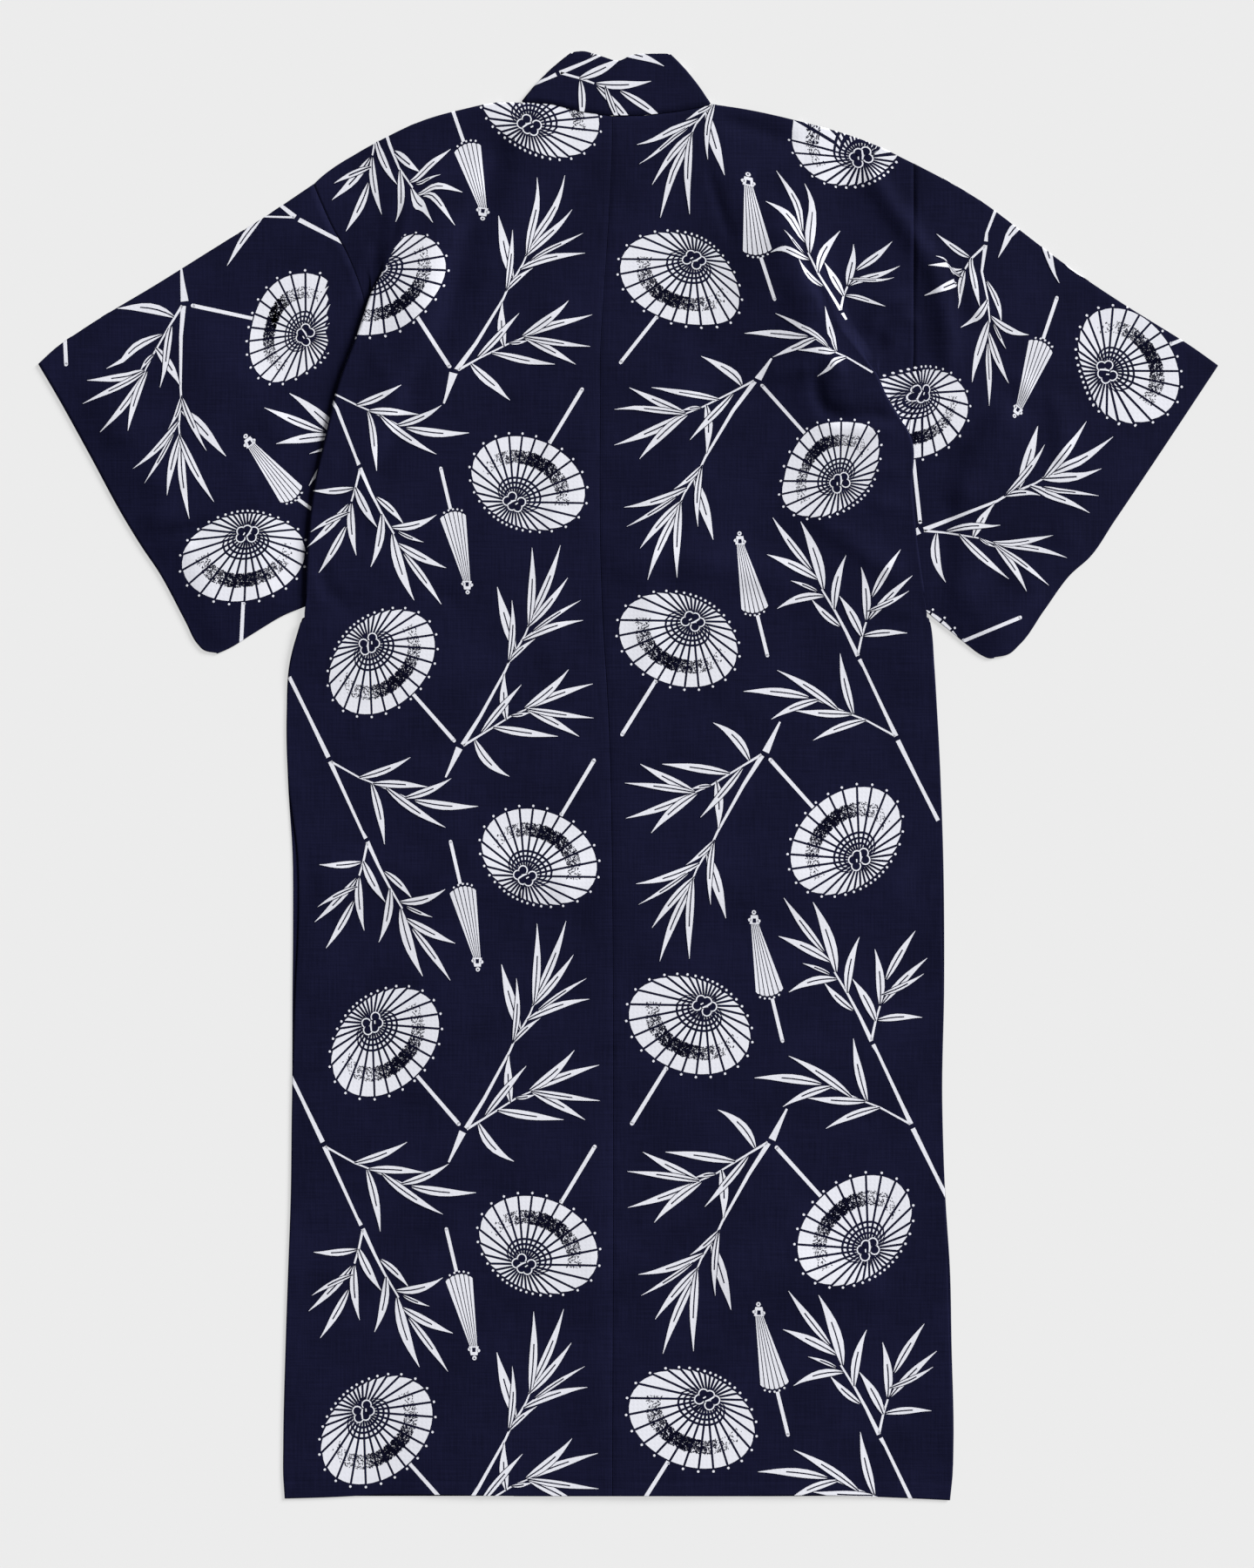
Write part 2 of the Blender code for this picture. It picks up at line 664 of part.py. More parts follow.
def sleeve(side, material):
    """A flattened tube from the armhole to the cuff, folded at its upper and lower edge."""
    seam = sleeve_seam(side)
    lengths = [0.0]
    for a, b in zip(seam, seam[1:]):
        lengths.append(lengths[-1] + math.dist(a, b))
    depths = [length / lengths[-1] for length in lengths]
    bulge = {
        "top": column(side.top_edge, "share", "sag"),
        "foot": column(side.foot_edge, "share", "sag"),
    }
    radius = (OVER - FLOOR) / 2

    def plan(share, number):
        depth = depths[number]
        cuff_share = 1 - (1 - depth) ** CORNER_ROWS
        end = (cuff[side.name]["outward"](cuff_share), cuff[side.name]["height"](cuff_share))
        out = mix(seam[number][0], end[0], share)
        y = mix(seam[number][1], end[1], share)
        y += bulge["top"](share) * (1 - depth) - bulge["foot"](share) * depth
        return out, y, depth

    def around(share):
        line = []
        for number in range(len(seam)):
            out, y, depth = plan(share, number)
            line.append(Vector((side.sign * out, y, OVER + sleeve_puff(share, depth))))
        out, y, _ = plan(share, len(seam) - 1)
        for step in range(1, TURN_STEPS):
            angle = math.pi * step / TURN_STEPS
            foot = y - radius * math.sin(angle)
            line.append(Vector((side.sign * out, foot, FLOOR + radius + radius * math.cos(angle))))
        for number in reversed(range(len(seam))):
            out, y, _ = plan(share, number)
            line.append(Vector((side.sign * out, y, FLOOR)))
        out, y, _ = plan(share, 0)
        for step in range(1, TURN_STEPS):
            angle = math.pi * step / TURN_STEPS
            crown = y + radius * math.sin(angle)
            line.append(Vector((side.sign * out, crown, FLOOR + radius - radius * math.cos(angle))))
        return line

    columns = [around(share) for share in SLEEVE_COLUMNS]
    points = [[line[i] for line in columns] for i in range(len(columns[0]))]
    return sheet("sleeve_" + side.name, points, CLOTH, material, ring=True)


def band_front(side):
    """Rows (seam point, free point) of the collar down one front, from its foot to the neck."""
    slant = front_slant(side)
    free = BAND_WIDTH * math.hypot(1, slant)
    foot_out = neck_edge(side, side.band_foot) - SEAM / 2
    top_row = COLLAR_TOP[0] if side.sign < 0 else COLLAR_TOP[-1]
    foot = (
        Vector((side.sign * foot_out, side.band_foot)),
        Vector((side.sign * (foot_out - free), side.band_foot)),
    )
    neck = (
        Vector((side.sign * (side.neck[0] - NECK_TURN[0]), side.neck[1] + NECK_TURN[1])),
        Vector((top_row.x, top_row.height)),
    )
    shares = [i / BAND_STEPS for i in range(BAND_STEPS + 1)]
    return [(mix(foot[0], neck[0], share), mix(foot[1], neck[1], share)) for share in shares]


def collar(material):
    """One double band: up the left front, behind the neck and down the right front."""
    straight = Vector((0, 0))
    left = band_front(LEFT)
    right = band_front(RIGHT)
    rows = [(a, b, LEFT.band_level, straight) for a, b in left[:-1]]
    rows += band_fold(left[-1], LEFT)
    for i in range(1, NECK_STEPS):
        share = i / NECK_STEPS
        seam_x = mix(NECK_SEAM[0].x, NECK_SEAM[-1].x, share)
        top_x = mix(COLLAR_TOP[0].x, COLLAR_TOP[-1].x, share)
        seam = Vector((seam_x, neck_seam(seam_x) + SEAM / 2))
        rows.append((seam, Vector((top_x, collar_top(top_x))), BAND_TOP, straight))
    rows += reversed(band_fold(right[-1], RIGHT))
    rows += [(a, b, RIGHT.band_level, straight) for a, b in reversed(right[:-1])]
    points = []
    for seam, free, level, bow in rows:
        line = []
        for j in range(BAND_COLUMNS + 1):
            share = j / BAND_COLUMNS
            p = mix(seam, free, share) + bow * (4 * share * (1 - share))
            line.append(Vector((p.x, p.y, level)))
        points.append(line)
    return sheet("collar", points, BAND, material)


def band_fold(line, side):
    """Rows that turn the band over along its slanted fold, from the front up to the back."""
    radius = (BAND_TOP - side.band_level) / 2
    along = (line[1] - line[0]).normalized()
    outward = Vector((side.sign * along.y, -side.sign * along.x))
    inset = -outward * (radius + BAND / 2)
    rows = []
    for i in range(TURN_STEPS + 1):
        angle = math.pi * i / TURN_STEPS
        shift = inset + outward * radius * math.sin(angle)
        level = side.band_level + radius - radius * math.cos(angle)
        rows.append((line[0] + shift, line[1] + shift, level, outward * BAND_BOW))
    return rows


def centre_on_origin(objects):
    """Moves the garment's parent so that the middle of its footprint is the origin."""
    bpy.context.view_layer.update()
    graph = bpy.context.evaluated_depsgraph_get()
    corners = []
    for obj in objects:
        whole = obj.evaluated_get(graph)
        corners += [whole.matrix_world @ Vector(c) for c in whole.bound_box]
    low = [min(c[i] for c in corners) for i in range(3)]
    high = [max(c[i] for c in corners) for i in range(3)]
    garment = bpy.data.objects.new("garment", None)
    bpy.context.scene.collection.objects.link(garment)
    garment.location = (-(low[0] + high[0]) / 2, -(low[1] + high[1]) / 2, -low[2])
    for obj in objects:
        obj.parent = garment


def main():
    clear_scene()
    material = cotton()
    pieces = []
    for side in (LEFT, RIGHT):
        pieces.append(body_panel(side, material))
        pieces.append(overlap_panel(side, material))
        pieces.append(sleeve(side, material))
    pieces.append(collar(material))
    centre_on_origin(pieces)


main()
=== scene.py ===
"""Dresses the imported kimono: thin cloth with its creases over each solid, and the printed repeat.

Tables and sizes are in millimetres unless a name says otherwise. X runs from the centre back seam
to the right of the view, Y up from the hem and Z up from the floor, as in the part's source.
"Outward" is the distance from the centre back towards a panel's own side.
"""

import math
import random
from collections import namedtuple

import bpy
import numpy as np
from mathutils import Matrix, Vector


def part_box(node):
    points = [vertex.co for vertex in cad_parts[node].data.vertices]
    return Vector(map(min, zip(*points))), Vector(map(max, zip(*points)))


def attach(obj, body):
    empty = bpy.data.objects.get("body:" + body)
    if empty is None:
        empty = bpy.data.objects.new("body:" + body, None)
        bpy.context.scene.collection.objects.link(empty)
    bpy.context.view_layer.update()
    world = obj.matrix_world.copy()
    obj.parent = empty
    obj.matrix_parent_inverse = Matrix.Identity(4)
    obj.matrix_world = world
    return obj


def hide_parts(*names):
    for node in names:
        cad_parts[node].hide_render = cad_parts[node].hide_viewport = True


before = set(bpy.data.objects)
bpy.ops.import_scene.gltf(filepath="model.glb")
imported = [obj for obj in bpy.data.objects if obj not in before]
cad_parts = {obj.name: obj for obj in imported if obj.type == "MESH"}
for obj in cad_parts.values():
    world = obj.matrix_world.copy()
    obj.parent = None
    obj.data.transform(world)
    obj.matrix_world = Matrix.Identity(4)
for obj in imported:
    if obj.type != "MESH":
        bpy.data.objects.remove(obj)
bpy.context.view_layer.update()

MM = 0.001

# The sizes that the solids were built from
CLOTH = 1.0  # thickness of a panel's wall
SEAM = 0.4  # gap along a seam
LAYER = 0.3  # gap between layers that lie on each other
BAND = 1.6  # thickness of the collar, which is folded double
BAND_WIDTH = 62.0
BAND_BOW = 2.5  # how far the collar's slanted folds bow outward
CORNER_ROWS = 1.6  # how strongly a sleeve's rows gather towards the cuff's rounded corner
YOKE = 1198.0  # height at which the overlap panels meet the collar
ARMPIT = 896.0  # top of the side seams
SLEEVE_PUFF = 3.0  # how far a sleeve's upper layer stands off its lower one
SLEEVE_FOOT = 921.0  # where the sleeve's lower fold meets the body
HIP_FADE = 800.0  # below this height the armhole's fold has gone
ARM_FRONT = 14.0  # width of a front's outermost columns at the sleeve's foot
NECK_TURN = (1.2, 1.6)  # inward and up from the neck point to where the collar's seam turns
OVERLAP_TIP = 12.0  # the overlap panels end this far below the yoke's height

# How far an armhole's fold is beyond its valley where the pleat begins, and how much further that
# is where the pleat is whole
TURN_FROM = -18.0
TURN_OVER = 16.0

# Shares of a panel's width at which it begins to rise to the armhole, and soft folds to fade out
LOFT_FROM = 0.45
FOLDS_TO = 0.85

# Shares of a sleeve's length and depth over which its upper layer lifts
PUFF_FROM = 0.3
PUFF_OVER = 0.3
PUFF_CUFF = 0.15
PUFF_EDGE = 0.2

# Levels of the layers' middles
FLOOR = CLOTH / 2
OVER = FLOOR + CLOTH + LAYER
UNDER_RUN = OVER + CLOTH + LAYER
BAND_LOW = BAND / 2
LIFTED = BAND + LAYER + CLOTH / 2
BAND_HIGH = BAND + LAYER + BAND / 2
BACK = 2 * (BAND + LAYER) + CLOTH / 2
BAND_TOP = 2 * (BAND + LAYER) + BAND / 2

# What this script adds
WALL = 0.7  # thickness of the cloth that shows
BAND_WALL = 0.6  # thickness of each of the collar's two layers
RIM = 0.3  # how far a cut edge is rounded out, as a share of the wall
INK = 0.12  # how far the print lies off the cloth
INK_STEP = 0.03  # and how far each level of it lies off the one below
HEM_TURN = 15.0  # depth of the hem that is turned up inside
HEM_DIP = 0.22  # depth of the line that its inner edge makes
HEM_FADE = HEM_TURN + 1  # the hem's own slight waves end at this height
HEM_ROWS = [0, 1.5, 5, HEM_TURN - 5, HEM_TURN - 1.2, HEM_TURN, HEM_TURN + 1.2]  # their heights
PLAIN_FROM, PLAIN_TO = HEM_TURN + 6, 700.0  # heights between which the back has wider rows
SEAM_COLUMNS = np.array([0, 0.9, 2.2, 4.5])  # distances of the first columns from the centre seam
EDGE_COLUMNS = np.array([5.0, 2.4, 0.8, 0])  # distances of the last columns from the outer edge
TURN_STEPS = 8  # steps of each half turn of the cloth
RIPPLE = 0.25  # height of each of the waves that keep the cloth from lying dead flat
RIPPLES = [(31, 83, 0.0), (47, -59, 1.7), (120, 37, 0.6)]  # their scale in x and y, and start
GROOVE = 0.45  # depth of the centre seam's groove
GROOVE_WIDTH = 2.4
TOP_FADE = 12.0  # creases fade out this close to the shoulder
ARM_FADE = 15.0  # they come back over this length inside an open pleat
EDGE_FADE = 0.94  # and fade out from this share of a panel's width

CentreRow = namedtuple("CentreRow", "height x")
CENTRE_SEAM = [
    CentreRow(0, 0.0),
    CentreRow(390, 1.0),
    CentreRow(630, 0.0),
    CentreRow(747, -2.0),
    CentreRow(818, -5.0),
    CentreRow(889, -9.5),
    CentreRow(960, -12.0),
    CentreRow(1103, -12.5),
    CentreRow(1174, -12.0),
    CentreRow(1245, -7.5),
    CentreRow(1316, -3.0),
    CentreRow(1388, 0.0),
    CentreRow(1424, 0.0),
]

NeckRow = namedtuple("NeckRow", "x seam")
NECK_SEAM = [
    NeckRow(-93.5, 1423.0),
    NeckRow(-62.3, 1421.0),
    NeckRow(-31.2, 1413.0),
    NeckRow(0.0, 1409.0),
    NeckRow(33.8, 1409.5),
    NeckRow(67.7, 1413.5),
    NeckRow(101.5, 1420.0),
]

TopRow = namedtuple("TopRow", "x height")
COLLAR_TOP = [
    TopRow(-42.7, 1473.5),
    TopRow(-28, 1474.5),
    TopRow(-19, 1472.0),
    TopRow(-5, 1467.5),
    TopRow(5, 1464.5),
    TopRow(20, 1470.5),
    TopRow(39, 1472.0),
    TopRow(59.6, 1472.0),
]

HemRow = namedtuple("HemRow", "x height")
HEM = [
    HemRow(-336, -2.6),
    HemRow(-290, -1.2),
    HemRow(-240, 1.2),
    HemRow(-100, 0.6),
    HemRow(150, 0.8),
    HemRow(230, 1.0),
    HemRow(290, -1.6),
    HemRow(348, -4.4),
]

SideRow = namedtuple("SideRow", "height left right left_inset right_inset")
SIDE_SEAM = [
    SideRow(0, 334.5, 345.0, 0.0, 0.0),
    SideRow(20, 336.0, 347.5, 0.0, 0.0),
    SideRow(50, 336.0, 348.5, 0.0, 0.5),
    SideRow(157, 333.5, 346.5, 0.0, 2.0),
    SideRow(230, 331.0, 345.0, 0.0, 2.5),
    SideRow(300, 328.5, 340.5, 0.0, 0.5),
    SideRow(407, 327.0, 337.0, 0.0, 0.0),
    SideRow(520, 326.5, 339.0, 3.0, 1.0),
    SideRow(585, 326.0, 339.0, 5.5, 2.5),
    SideRow(656, 326.5, 338.0, 5.0, 1.0),
    SideRow(727, 331.0, 335.5, 0.5, 0.0),
    SideRow(798, 332.5, 332.0, 0.0, 0.0),
    SideRow(852, 329.0, 328.5, 0.0, 0.0),
    SideRow(887, 319.5, 325.5, 0.0, 0.0),
    SideRow(903, 314.5, 322.0, 0.0, 0.0),
]

ArmRow = namedtuple("ArmRow", "height fold valley seam loft")
LEFT_ARMHOLE = [
    ArmRow(903, 315, 284, 290, 1.0),
    ArmRow(921, 313, 281, 288, 1.8),
    ArmRow(960, 311, 272, 279, 2.6),
    ArmRow(1030, 304, 259, 266, 3.2),
    ArmRow(1088, 291, 244, 251, 3.8),
    ArmRow(1130, 281, 237, 245, 4.2),
    ArmRow(1190, 259, 239, 248, 4.4),
    ArmRow(1230, 245, 246, 256, 4.2),
    ArmRow(1250, 234, 246, 263, 4.0),
    ArmRow(1273, 222, 243, 273, 3.4),
    ArmRow(1292, 211, 242, 284, 2.6),
    ArmRow(1320, 208, 252, 297, 1.2),
    ArmRow(1340, 207, 260, 305, 0.6),
    ArmRow(1400, 207, 262, 305, 0.0),
]
RIGHT_ARMHOLE = [
    ArmRow(903, 322, 298, 305, 1.0),
    ArmRow(921, 319, 292, 303, 1.8),
    ArmRow(976, 311, 286, 300, 2.4),
    ArmRow(1030, 306, 284, 301, 2.8),
    ArmRow(1083, 304, 283, 303, 3.4),
    ArmRow(1103, 292, 280, 305, 3.8),
    ArmRow(1123, 280, 277, 306, 4.2),
    ArmRow(1147, 269, 272, 307, 4.6),
    ArmRow(1168, 253, 266, 308, 4.8),
    ArmRow(1194, 233, 249, 308, 4.4),
    ArmRow(1221, 222, 240, 308, 3.8),
    ArmRow(1257, 202, 232, 308, 2.6),
    ArmRow(1320, 198, 240, 308, 1.0),
    ArmRow(1400, 198, 250, 308, 0.0),
]

ShoulderRow = namedtuple("ShoulderRow", "outward height")
LEFT_SHOULDER = [
    ShoulderRow(93.5, 1423.0),
    ShoulderRow(118, 1423.0),
    ShoulderRow(154, 1416.0),
    ShoulderRow(190, 1406.0),
    ShoulderRow(225, 1391.0),
    ShoulderRow(261, 1371.5),
    ShoulderRow(296, 1347.5),
    ShoulderRow(305, 1340.0),
]
RIGHT_SHOULDER = [
    ShoulderRow(101.5, 1421.0),
    ShoulderRow(131, 1417.0),
    ShoulderRow(166, 1410.0),
    ShoulderRow(202, 1401.0),
    ShoulderRow(238, 1391.0),
    ShoulderRow(273, 1378.0),
    ShoulderRow(308, 1361.0),
]

CuffRow = namedtuple("CuffRow", "share outward height")
LEFT_CUFF = [
    CuffRow(0.0, 586.0, 1154.5),
    CuffRow(0.1, 568.5, 1125.0),
    CuffRow(0.3, 534.0, 1063.0),
    CuffRow(0.5, 500.0, 1000.5),
    CuffRow(0.61, 480.0, 968.0),
    CuffRow(0.7, 463.0, 943.0),
    CuffRow(0.85, 436.0, 893.0),
    CuffRow(0.93, 424.0, 870.5),
    CuffRow(0.97, 415.5, 863.0),
    CuffRow(1.0, 404.0, 861.0),
]
RIGHT_CUFF = [
    CuffRow(0.0, 618.5, 1154.0),
    CuffRow(0.3, 555.5, 1059.0),
    CuffRow(0.5, 512.5, 995.0),
    CuffRow(0.62, 487.5, 958.5),
    CuffRow(0.69, 468.0, 941.0),
    CuffRow(0.8, 441.5, 905.0),
    CuffRow(0.92, 416.5, 870.0),
    CuffRow(0.97, 403.0, 859.0),
    CuffRow(1.0, 390.0, 856.5),
]

BulgeRow = namedtuple("BulgeRow", "share sag")
LEFT_TOP_EDGE = [
    BulgeRow(0, 0.0),
    BulgeRow(0.2, -0.8),
    BulgeRow(0.35, 1.0),
    BulgeRow(0.55, 2.7),
    BulgeRow(0.85, 6.5),
    BulgeRow(0.94, 5.5),
    BulgeRow(1, 1.0),
]
RIGHT_TOP_EDGE = [
    BulgeRow(0, 0.0),
    BulgeRow(0.12, 5.0),
    BulgeRow(0.23, 7.0),
    BulgeRow(0.35, 3.7),
    BulgeRow(0.46, 0.0),
    BulgeRow(0.69, -1.5),
    BulgeRow(0.8, 0.0),
    BulgeRow(0.92, 1.3),
    BulgeRow(1, 0.0),
]
LEFT_FOOT_EDGE = [
    BulgeRow(0, 0.0),
    BulgeRow(0.22, -1.5),
    BulgeRow(0.4, -3.8),
    BulgeRow(0.69, -1.3),
    BulgeRow(0.9, 1.0),
    BulgeRow(1, 0.0),
]
RIGHT_FOOT_EDGE = [
    BulgeRow(0, 0.0),
    BulgeRow(0.22, 4.0),
    BulgeRow(0.49, 5.5),
    BulgeRow(0.69, 6.7),
    BulgeRow(0.85, 6.5),
    BulgeRow(0.95, 3.5),
    BulgeRow(1, 0.0),
]

FoldRow = namedtuple("FoldRow", "x0 y0 x1 y1 width height")
SOFT_FOLDS = [
    FoldRow(-96, 1370, -128, 1240, 34, 2.2),
    FoldRow(-128, 1240, -160, 1130, 30, 1.8),
    FoldRow(-175, 1330, -190, 1200, 34, 2.6),
    FoldRow(-190, 1200, -240, 1020, 30, 2.0),
    FoldRow(118, 1350, 150, 1250, 30, 2.0),
    FoldRow(178, 1300, 218, 1160, 30, 2.4),
    FoldRow(212, 1140, 262, 1095, 26, 2.4),
]
# Finer creases, which only the cloth has. Left and right are the widths of its two flanks, on
# either hand as the path runs. A height under zero is a trough.
Crease = namedtuple("Crease", "height left right path")
CREASES = [
    # The left panel
    Crease(-3.8, 19, 11, [
        (-112, 1396), (-127, 1330), (-145, 1300), (-156, 1256), (-166, 1215), (-174, 1183),
        (-193, 1158), (-205, 1128), (-217, 1092), (-232, 1056), (-250, 1020),
    ]),
    Crease(-1.5, 9, 6, [(-214, 1334), (-219, 1304), (-223, 1272)]),
    Crease(-2.0, 9, 7, [(-306, 966), (-292, 925), (-262, 901)]),
    Crease(-1.2, 10, 8, [(-194, 932), (-150, 904)]),
    Crease(1.0, 9, 9, [(-250, 1188), (-204, 1088)]),
    Crease(1.1, 16, 15, [(-62, 1240), (-58, 1010), (-66, 830)]),
    Crease(0.9, 13, 14, [(-30, 1210), (-35, 920)]),
    # The right panel
    Crease(-2.2, 9, 9, [(100, 1408), (150, 1394), (196, 1379)]),
    Crease(-1.6, 7, 5, [(94, 1364), (112, 1305), (125, 1272)]),
    Crease(-1.5, 16, 14, [(134, 1332), (180, 1330)]),
    Crease(4.2, 13, 23, [(176, 1312), (198, 1243), (218, 1192)]),
    Crease(1.9, 6, 7, [(218, 1168), (238, 1140)]),
    Crease(-3.8, 9, 7, [
        (206, 1162), (209, 1124), (216, 1108), (234, 1101), (262, 1102), (296, 1106),
    ]),
    Crease(1.6, 9, 9, [(150, 1147), (190, 1149), (220, 1147)]),
    Crease(-1.2, 14, 10, [(94, 1122), (172, 1122)]),
    Crease(1.7, 7, 7, [(258, 1089), (306, 1090)]),
    Crease(1.6, 7, 7, [(262, 1047), (304, 1046)]),
    Crease(1.5, 7, 7, [(260, 1011), (306, 1009)]),
    Crease(2.4, 22, 15, [(-12, 948), (60, 951), (116, 948), (196, 927)]),
    Crease(2.4, 13, 11, [(198, 1002), (240, 976), (272, 951), (308, 930)]),
    Crease(1.6, 8, 8, [(258, 905), (324, 905)]),
    Crease(0.9, 14, 16, [(40, 1070), (38, 790)]),
    Crease(1.1, 16, 18, [(72, 1190), (64, 1000)]),
    # Across the lower body
    Crease(2.8, 34, 27, [(-318, 624), (-120, 628), (80, 616), (318, 628)]),
    Crease(1.9, 26, 22, [(96, 220), (180, 224), (290, 214)]),
    Crease(1.5, 20, 18, [(-310, 220), (-170, 238)]),
    Crease(1.2, 12, 15, [(-46, 660), (-54, 530)]),
    Crease(0.9, 14, 14, [(-20, 440), (-14, 30)]),
    # The left sleeve
    Crease(2.8, 14, 6, [
        (-492, 980), (-466, 991), (-440, 996), (-408, 1004), (-385, 1022), (-350, 1056),
    ]),
    Crease(1.4, 8, 8, [(-478, 964), (-422, 974)]),
    Crease(1.5, 14, 12, [(-524, 1082), (-486, 1086)]),
    Crease(1.8, 12, 12, [(-358, 1110), (-324, 1070)]),
    Crease(1.3, 16, 14, [(-480, 1026), (-420, 1048)]),
    Crease(1.4, 6, 7, [(-244, 1280), (-268, 1240)]),
    # The right sleeve, from the crumple over its armhole
    Crease(3.0, 10, 10, [(312, 1228), (274, 1216), (258, 1182)]),
    Crease(3.2, 9, 13, [(314, 1210), (292, 1196), (276, 1172)]),
    Crease(4.2, 9, 13, [
        (256, 1364), (286, 1318), (306, 1290), (322, 1266), (334, 1242), (340, 1209), (345, 1178),
        (341, 1140),
    ]),
    Crease(2.0, 12, 10, [(362, 1256), (372, 1218), (388, 1190)]),
    Crease(3.2, 26, 12, [(410, 1122), (394, 1092), (374, 1070), (364, 1046), (356, 1000)]),
    Crease(2.2, 12, 9, [(444, 1140), (456, 1100), (458, 1066), (466, 1040)]),
    Crease(1.7, 9, 9, [(412, 1152), (430, 1112)]),
    Crease(2.2, 22, 14, [(350, 1050), (360, 1000), (356, 930), (358, 894)]),
    Crease(1.3, 12, 11, [(394, 944), (440, 926)]),
    Crease(1.4, 14, 12, [(444, 990), (484, 968)]),
]
CREASE_FADE = 30.0  # length over which a crease fades out at each end
CREASE_FADE_SHARE = 0.3  # or this share of its own length, if that is less

Side = namedtuple(
    "Side",
    "name sign neck overlap_seam overlap_edge armhole shoulder cuff top_edge foot_edge"
    " slope_from slope_to front_level front_from front_to band_level band_foot",
)
LEFT = Side(
    name="left",
    sign=-1,
    neck=(93.5, 1423.0),
    overlap_seam=38.0,
    overlap_edge=-113.0,
    armhole=LEFT_ARMHOLE,
    shoulder=LEFT_SHOULDER,
    cuff=LEFT_CUFF,
    top_edge=LEFT_TOP_EDGE,
    foot_edge=LEFT_FOOT_EDGE,
    slope_from=150.0,
    slope_to=270.0,
    front_level=FLOOR,
    front_from=150.0,
    front_to=230.0,
    band_level=BAND_LOW,
    band_foot=845.0,
)
RIGHT = Side(
    name="right",
    sign=1,
    neck=(101.5, 1420.0),
    overlap_seam=50.5,
    overlap_edge=-100.5,
    armhole=RIGHT_ARMHOLE,
    shoulder=RIGHT_SHOULDER,
    cuff=RIGHT_CUFF,
    top_edge=RIGHT_TOP_EDGE,
    foot_edge=RIGHT_FOOT_EDGE,
    slope_from=170.0,
    slope_to=290.0,
    front_level=LIFTED,
    front_from=150.0,
    front_to=230.0,
    band_level=BAND_HIGH,
    band_foot=815.0,
)
SIDES = (LEFT, RIGHT)

# How far apart the rows and columns of a panel are: as a rule, low on the back, and on the front
FINE = 5.0
PLAIN = 9.0
FRONT_STEP = 16.0


def mix(a, b, share):
    """The value a share of the way from a to b."""
    return a + (b - a) * share


def ease(share):
    """A smooth step from 0 to 1."""
    share = np.clip(share, 0.0, 1.0)
    return share * share * (3 - 2 * share)


def curve(knots, values):
    """A smooth function through the rows of a table, level with its ends beyond them."""
    knots, values = np.array(knots, float), np.array(values, float)
    slopes = np.gradient(values, knots)

    def at(t):
        t = np.clip(t, knots[0], knots[-1])
        i = np.clip(np.searchsorted(knots, t, side="right") - 1, 0, len(knots) - 2)
        step = knots[i + 1] - knots[i]
        s = (t - knots[i]) / step
        start = (1 + 2 * s) * (1 - s) ** 2 * values[i] + s * (1 - s) ** 2 * step * slopes[i]
        end = s * s * (3 - 2 * s) * values[i + 1] + s * s * (s - 1) * step * slopes[i + 1]
        return start + end

    return at


def column(table, key, value):
    """A smooth function of one named column of a table over another."""
    return curve([getattr(r, key) for r in table], [getattr(r, value) for r in table])


centre_x = column(CENTRE_SEAM, "height", "x")
hem_height = column(HEM, "x", "height")
side_out = {s.name: column(SIDE_SEAM, "height", s.name) for s in SIDES}
side_inset = {s.name: column(SIDE_SEAM, "height", s.name + "_inset") for s in SIDES}
arm = {
    s.name: {key: column(s.armhole, "height", key) for key in ("fold", "valley", "seam", "loft")}
    for s in SIDES
}
shoulder = {s.name: column(s.shoulder, "outward", "height") for s in SIDES}
cuff = {
    s.name: {key: column(s.cuff, "share", key) for key in ("outward", "height")} for s in SIDES
}
collar_top = column(COLLAR_TOP, "x", "height")


def neck_seam(x):
    """Height of the back neck's seam, straight between the rows of its table."""
    return np.interp(x, [r.x for r in NECK_SEAM], [r.seam for r in NECK_SEAM])


def spaced(start, end, step):
    """Even values from start to end, no further apart than step."""
    return np.linspace(start, end, max(1, math.ceil(abs(end - start) / step)) + 1)


def relief(folds, x, y):
    """Height that a table's ridges and troughs add at a place."""
    total = np.zeros(np.broadcast(x, y).shape)
    for f in folds:
        run_x, run_y = f.x1 - f.x0, f.y1 - f.y0
        length = run_x * run_x + run_y * run_y
        share = np.clip(((x - f.x0) * run_x + (y - f.y0) * run_y) / length, 0, 1)
        away = np.hypot(x - f.x0 - share * run_x, y - f.y0 - share * run_y)
        total = total + f.height * np.exp(-((away / f.width) ** 2))
    return total


def creased(x, y):
    """Height that the finer creases add at a place. Each fades out towards its ends."""
    total = np.zeros(np.broadcast(x, y).shape)
    for crease in CREASES:
        nearest = np.full(total.shape, np.inf)
        width, along = np.ones(total.shape), np.zeros(total.shape)
        length = 0.0
        for (x0, y0), (x1, y1) in zip(crease.path, crease.path[1:]):
            run_x, run_y = x1 - x0, y1 - y0
            run = math.hypot(run_x, run_y)
            share = np.clip(((x - x0) * run_x + (y - y0) * run_y) / run**2, 0, 1)
            away = np.hypot(x - x0 - share * run_x, y - y0 - share * run_y)
            closer = away < nearest
            on_left = run_x * (y - y0) > run_y * (x - x0)
            nearest = np.where(closer, away, nearest)
            width = np.where(closer, np.where(on_left, crease.left, crease.right), width)
            along = np.where(closer, length + share * run, along)
            length += run
        fade = min(CREASE_FADE_SHARE * length, CREASE_FADE)
        ends = ease(along / fade) * ease((length - along) / fade)
        total = total + crease.height * ends * np.exp(-((nearest / width) ** 2))
    return total


def ripple(x, y):
    """The slight unevenness of cloth that was smoothed out by hand."""
    return RIPPLE * sum(np.sin(x / wide + y / high + start) for wide, high, start in RIPPLES)


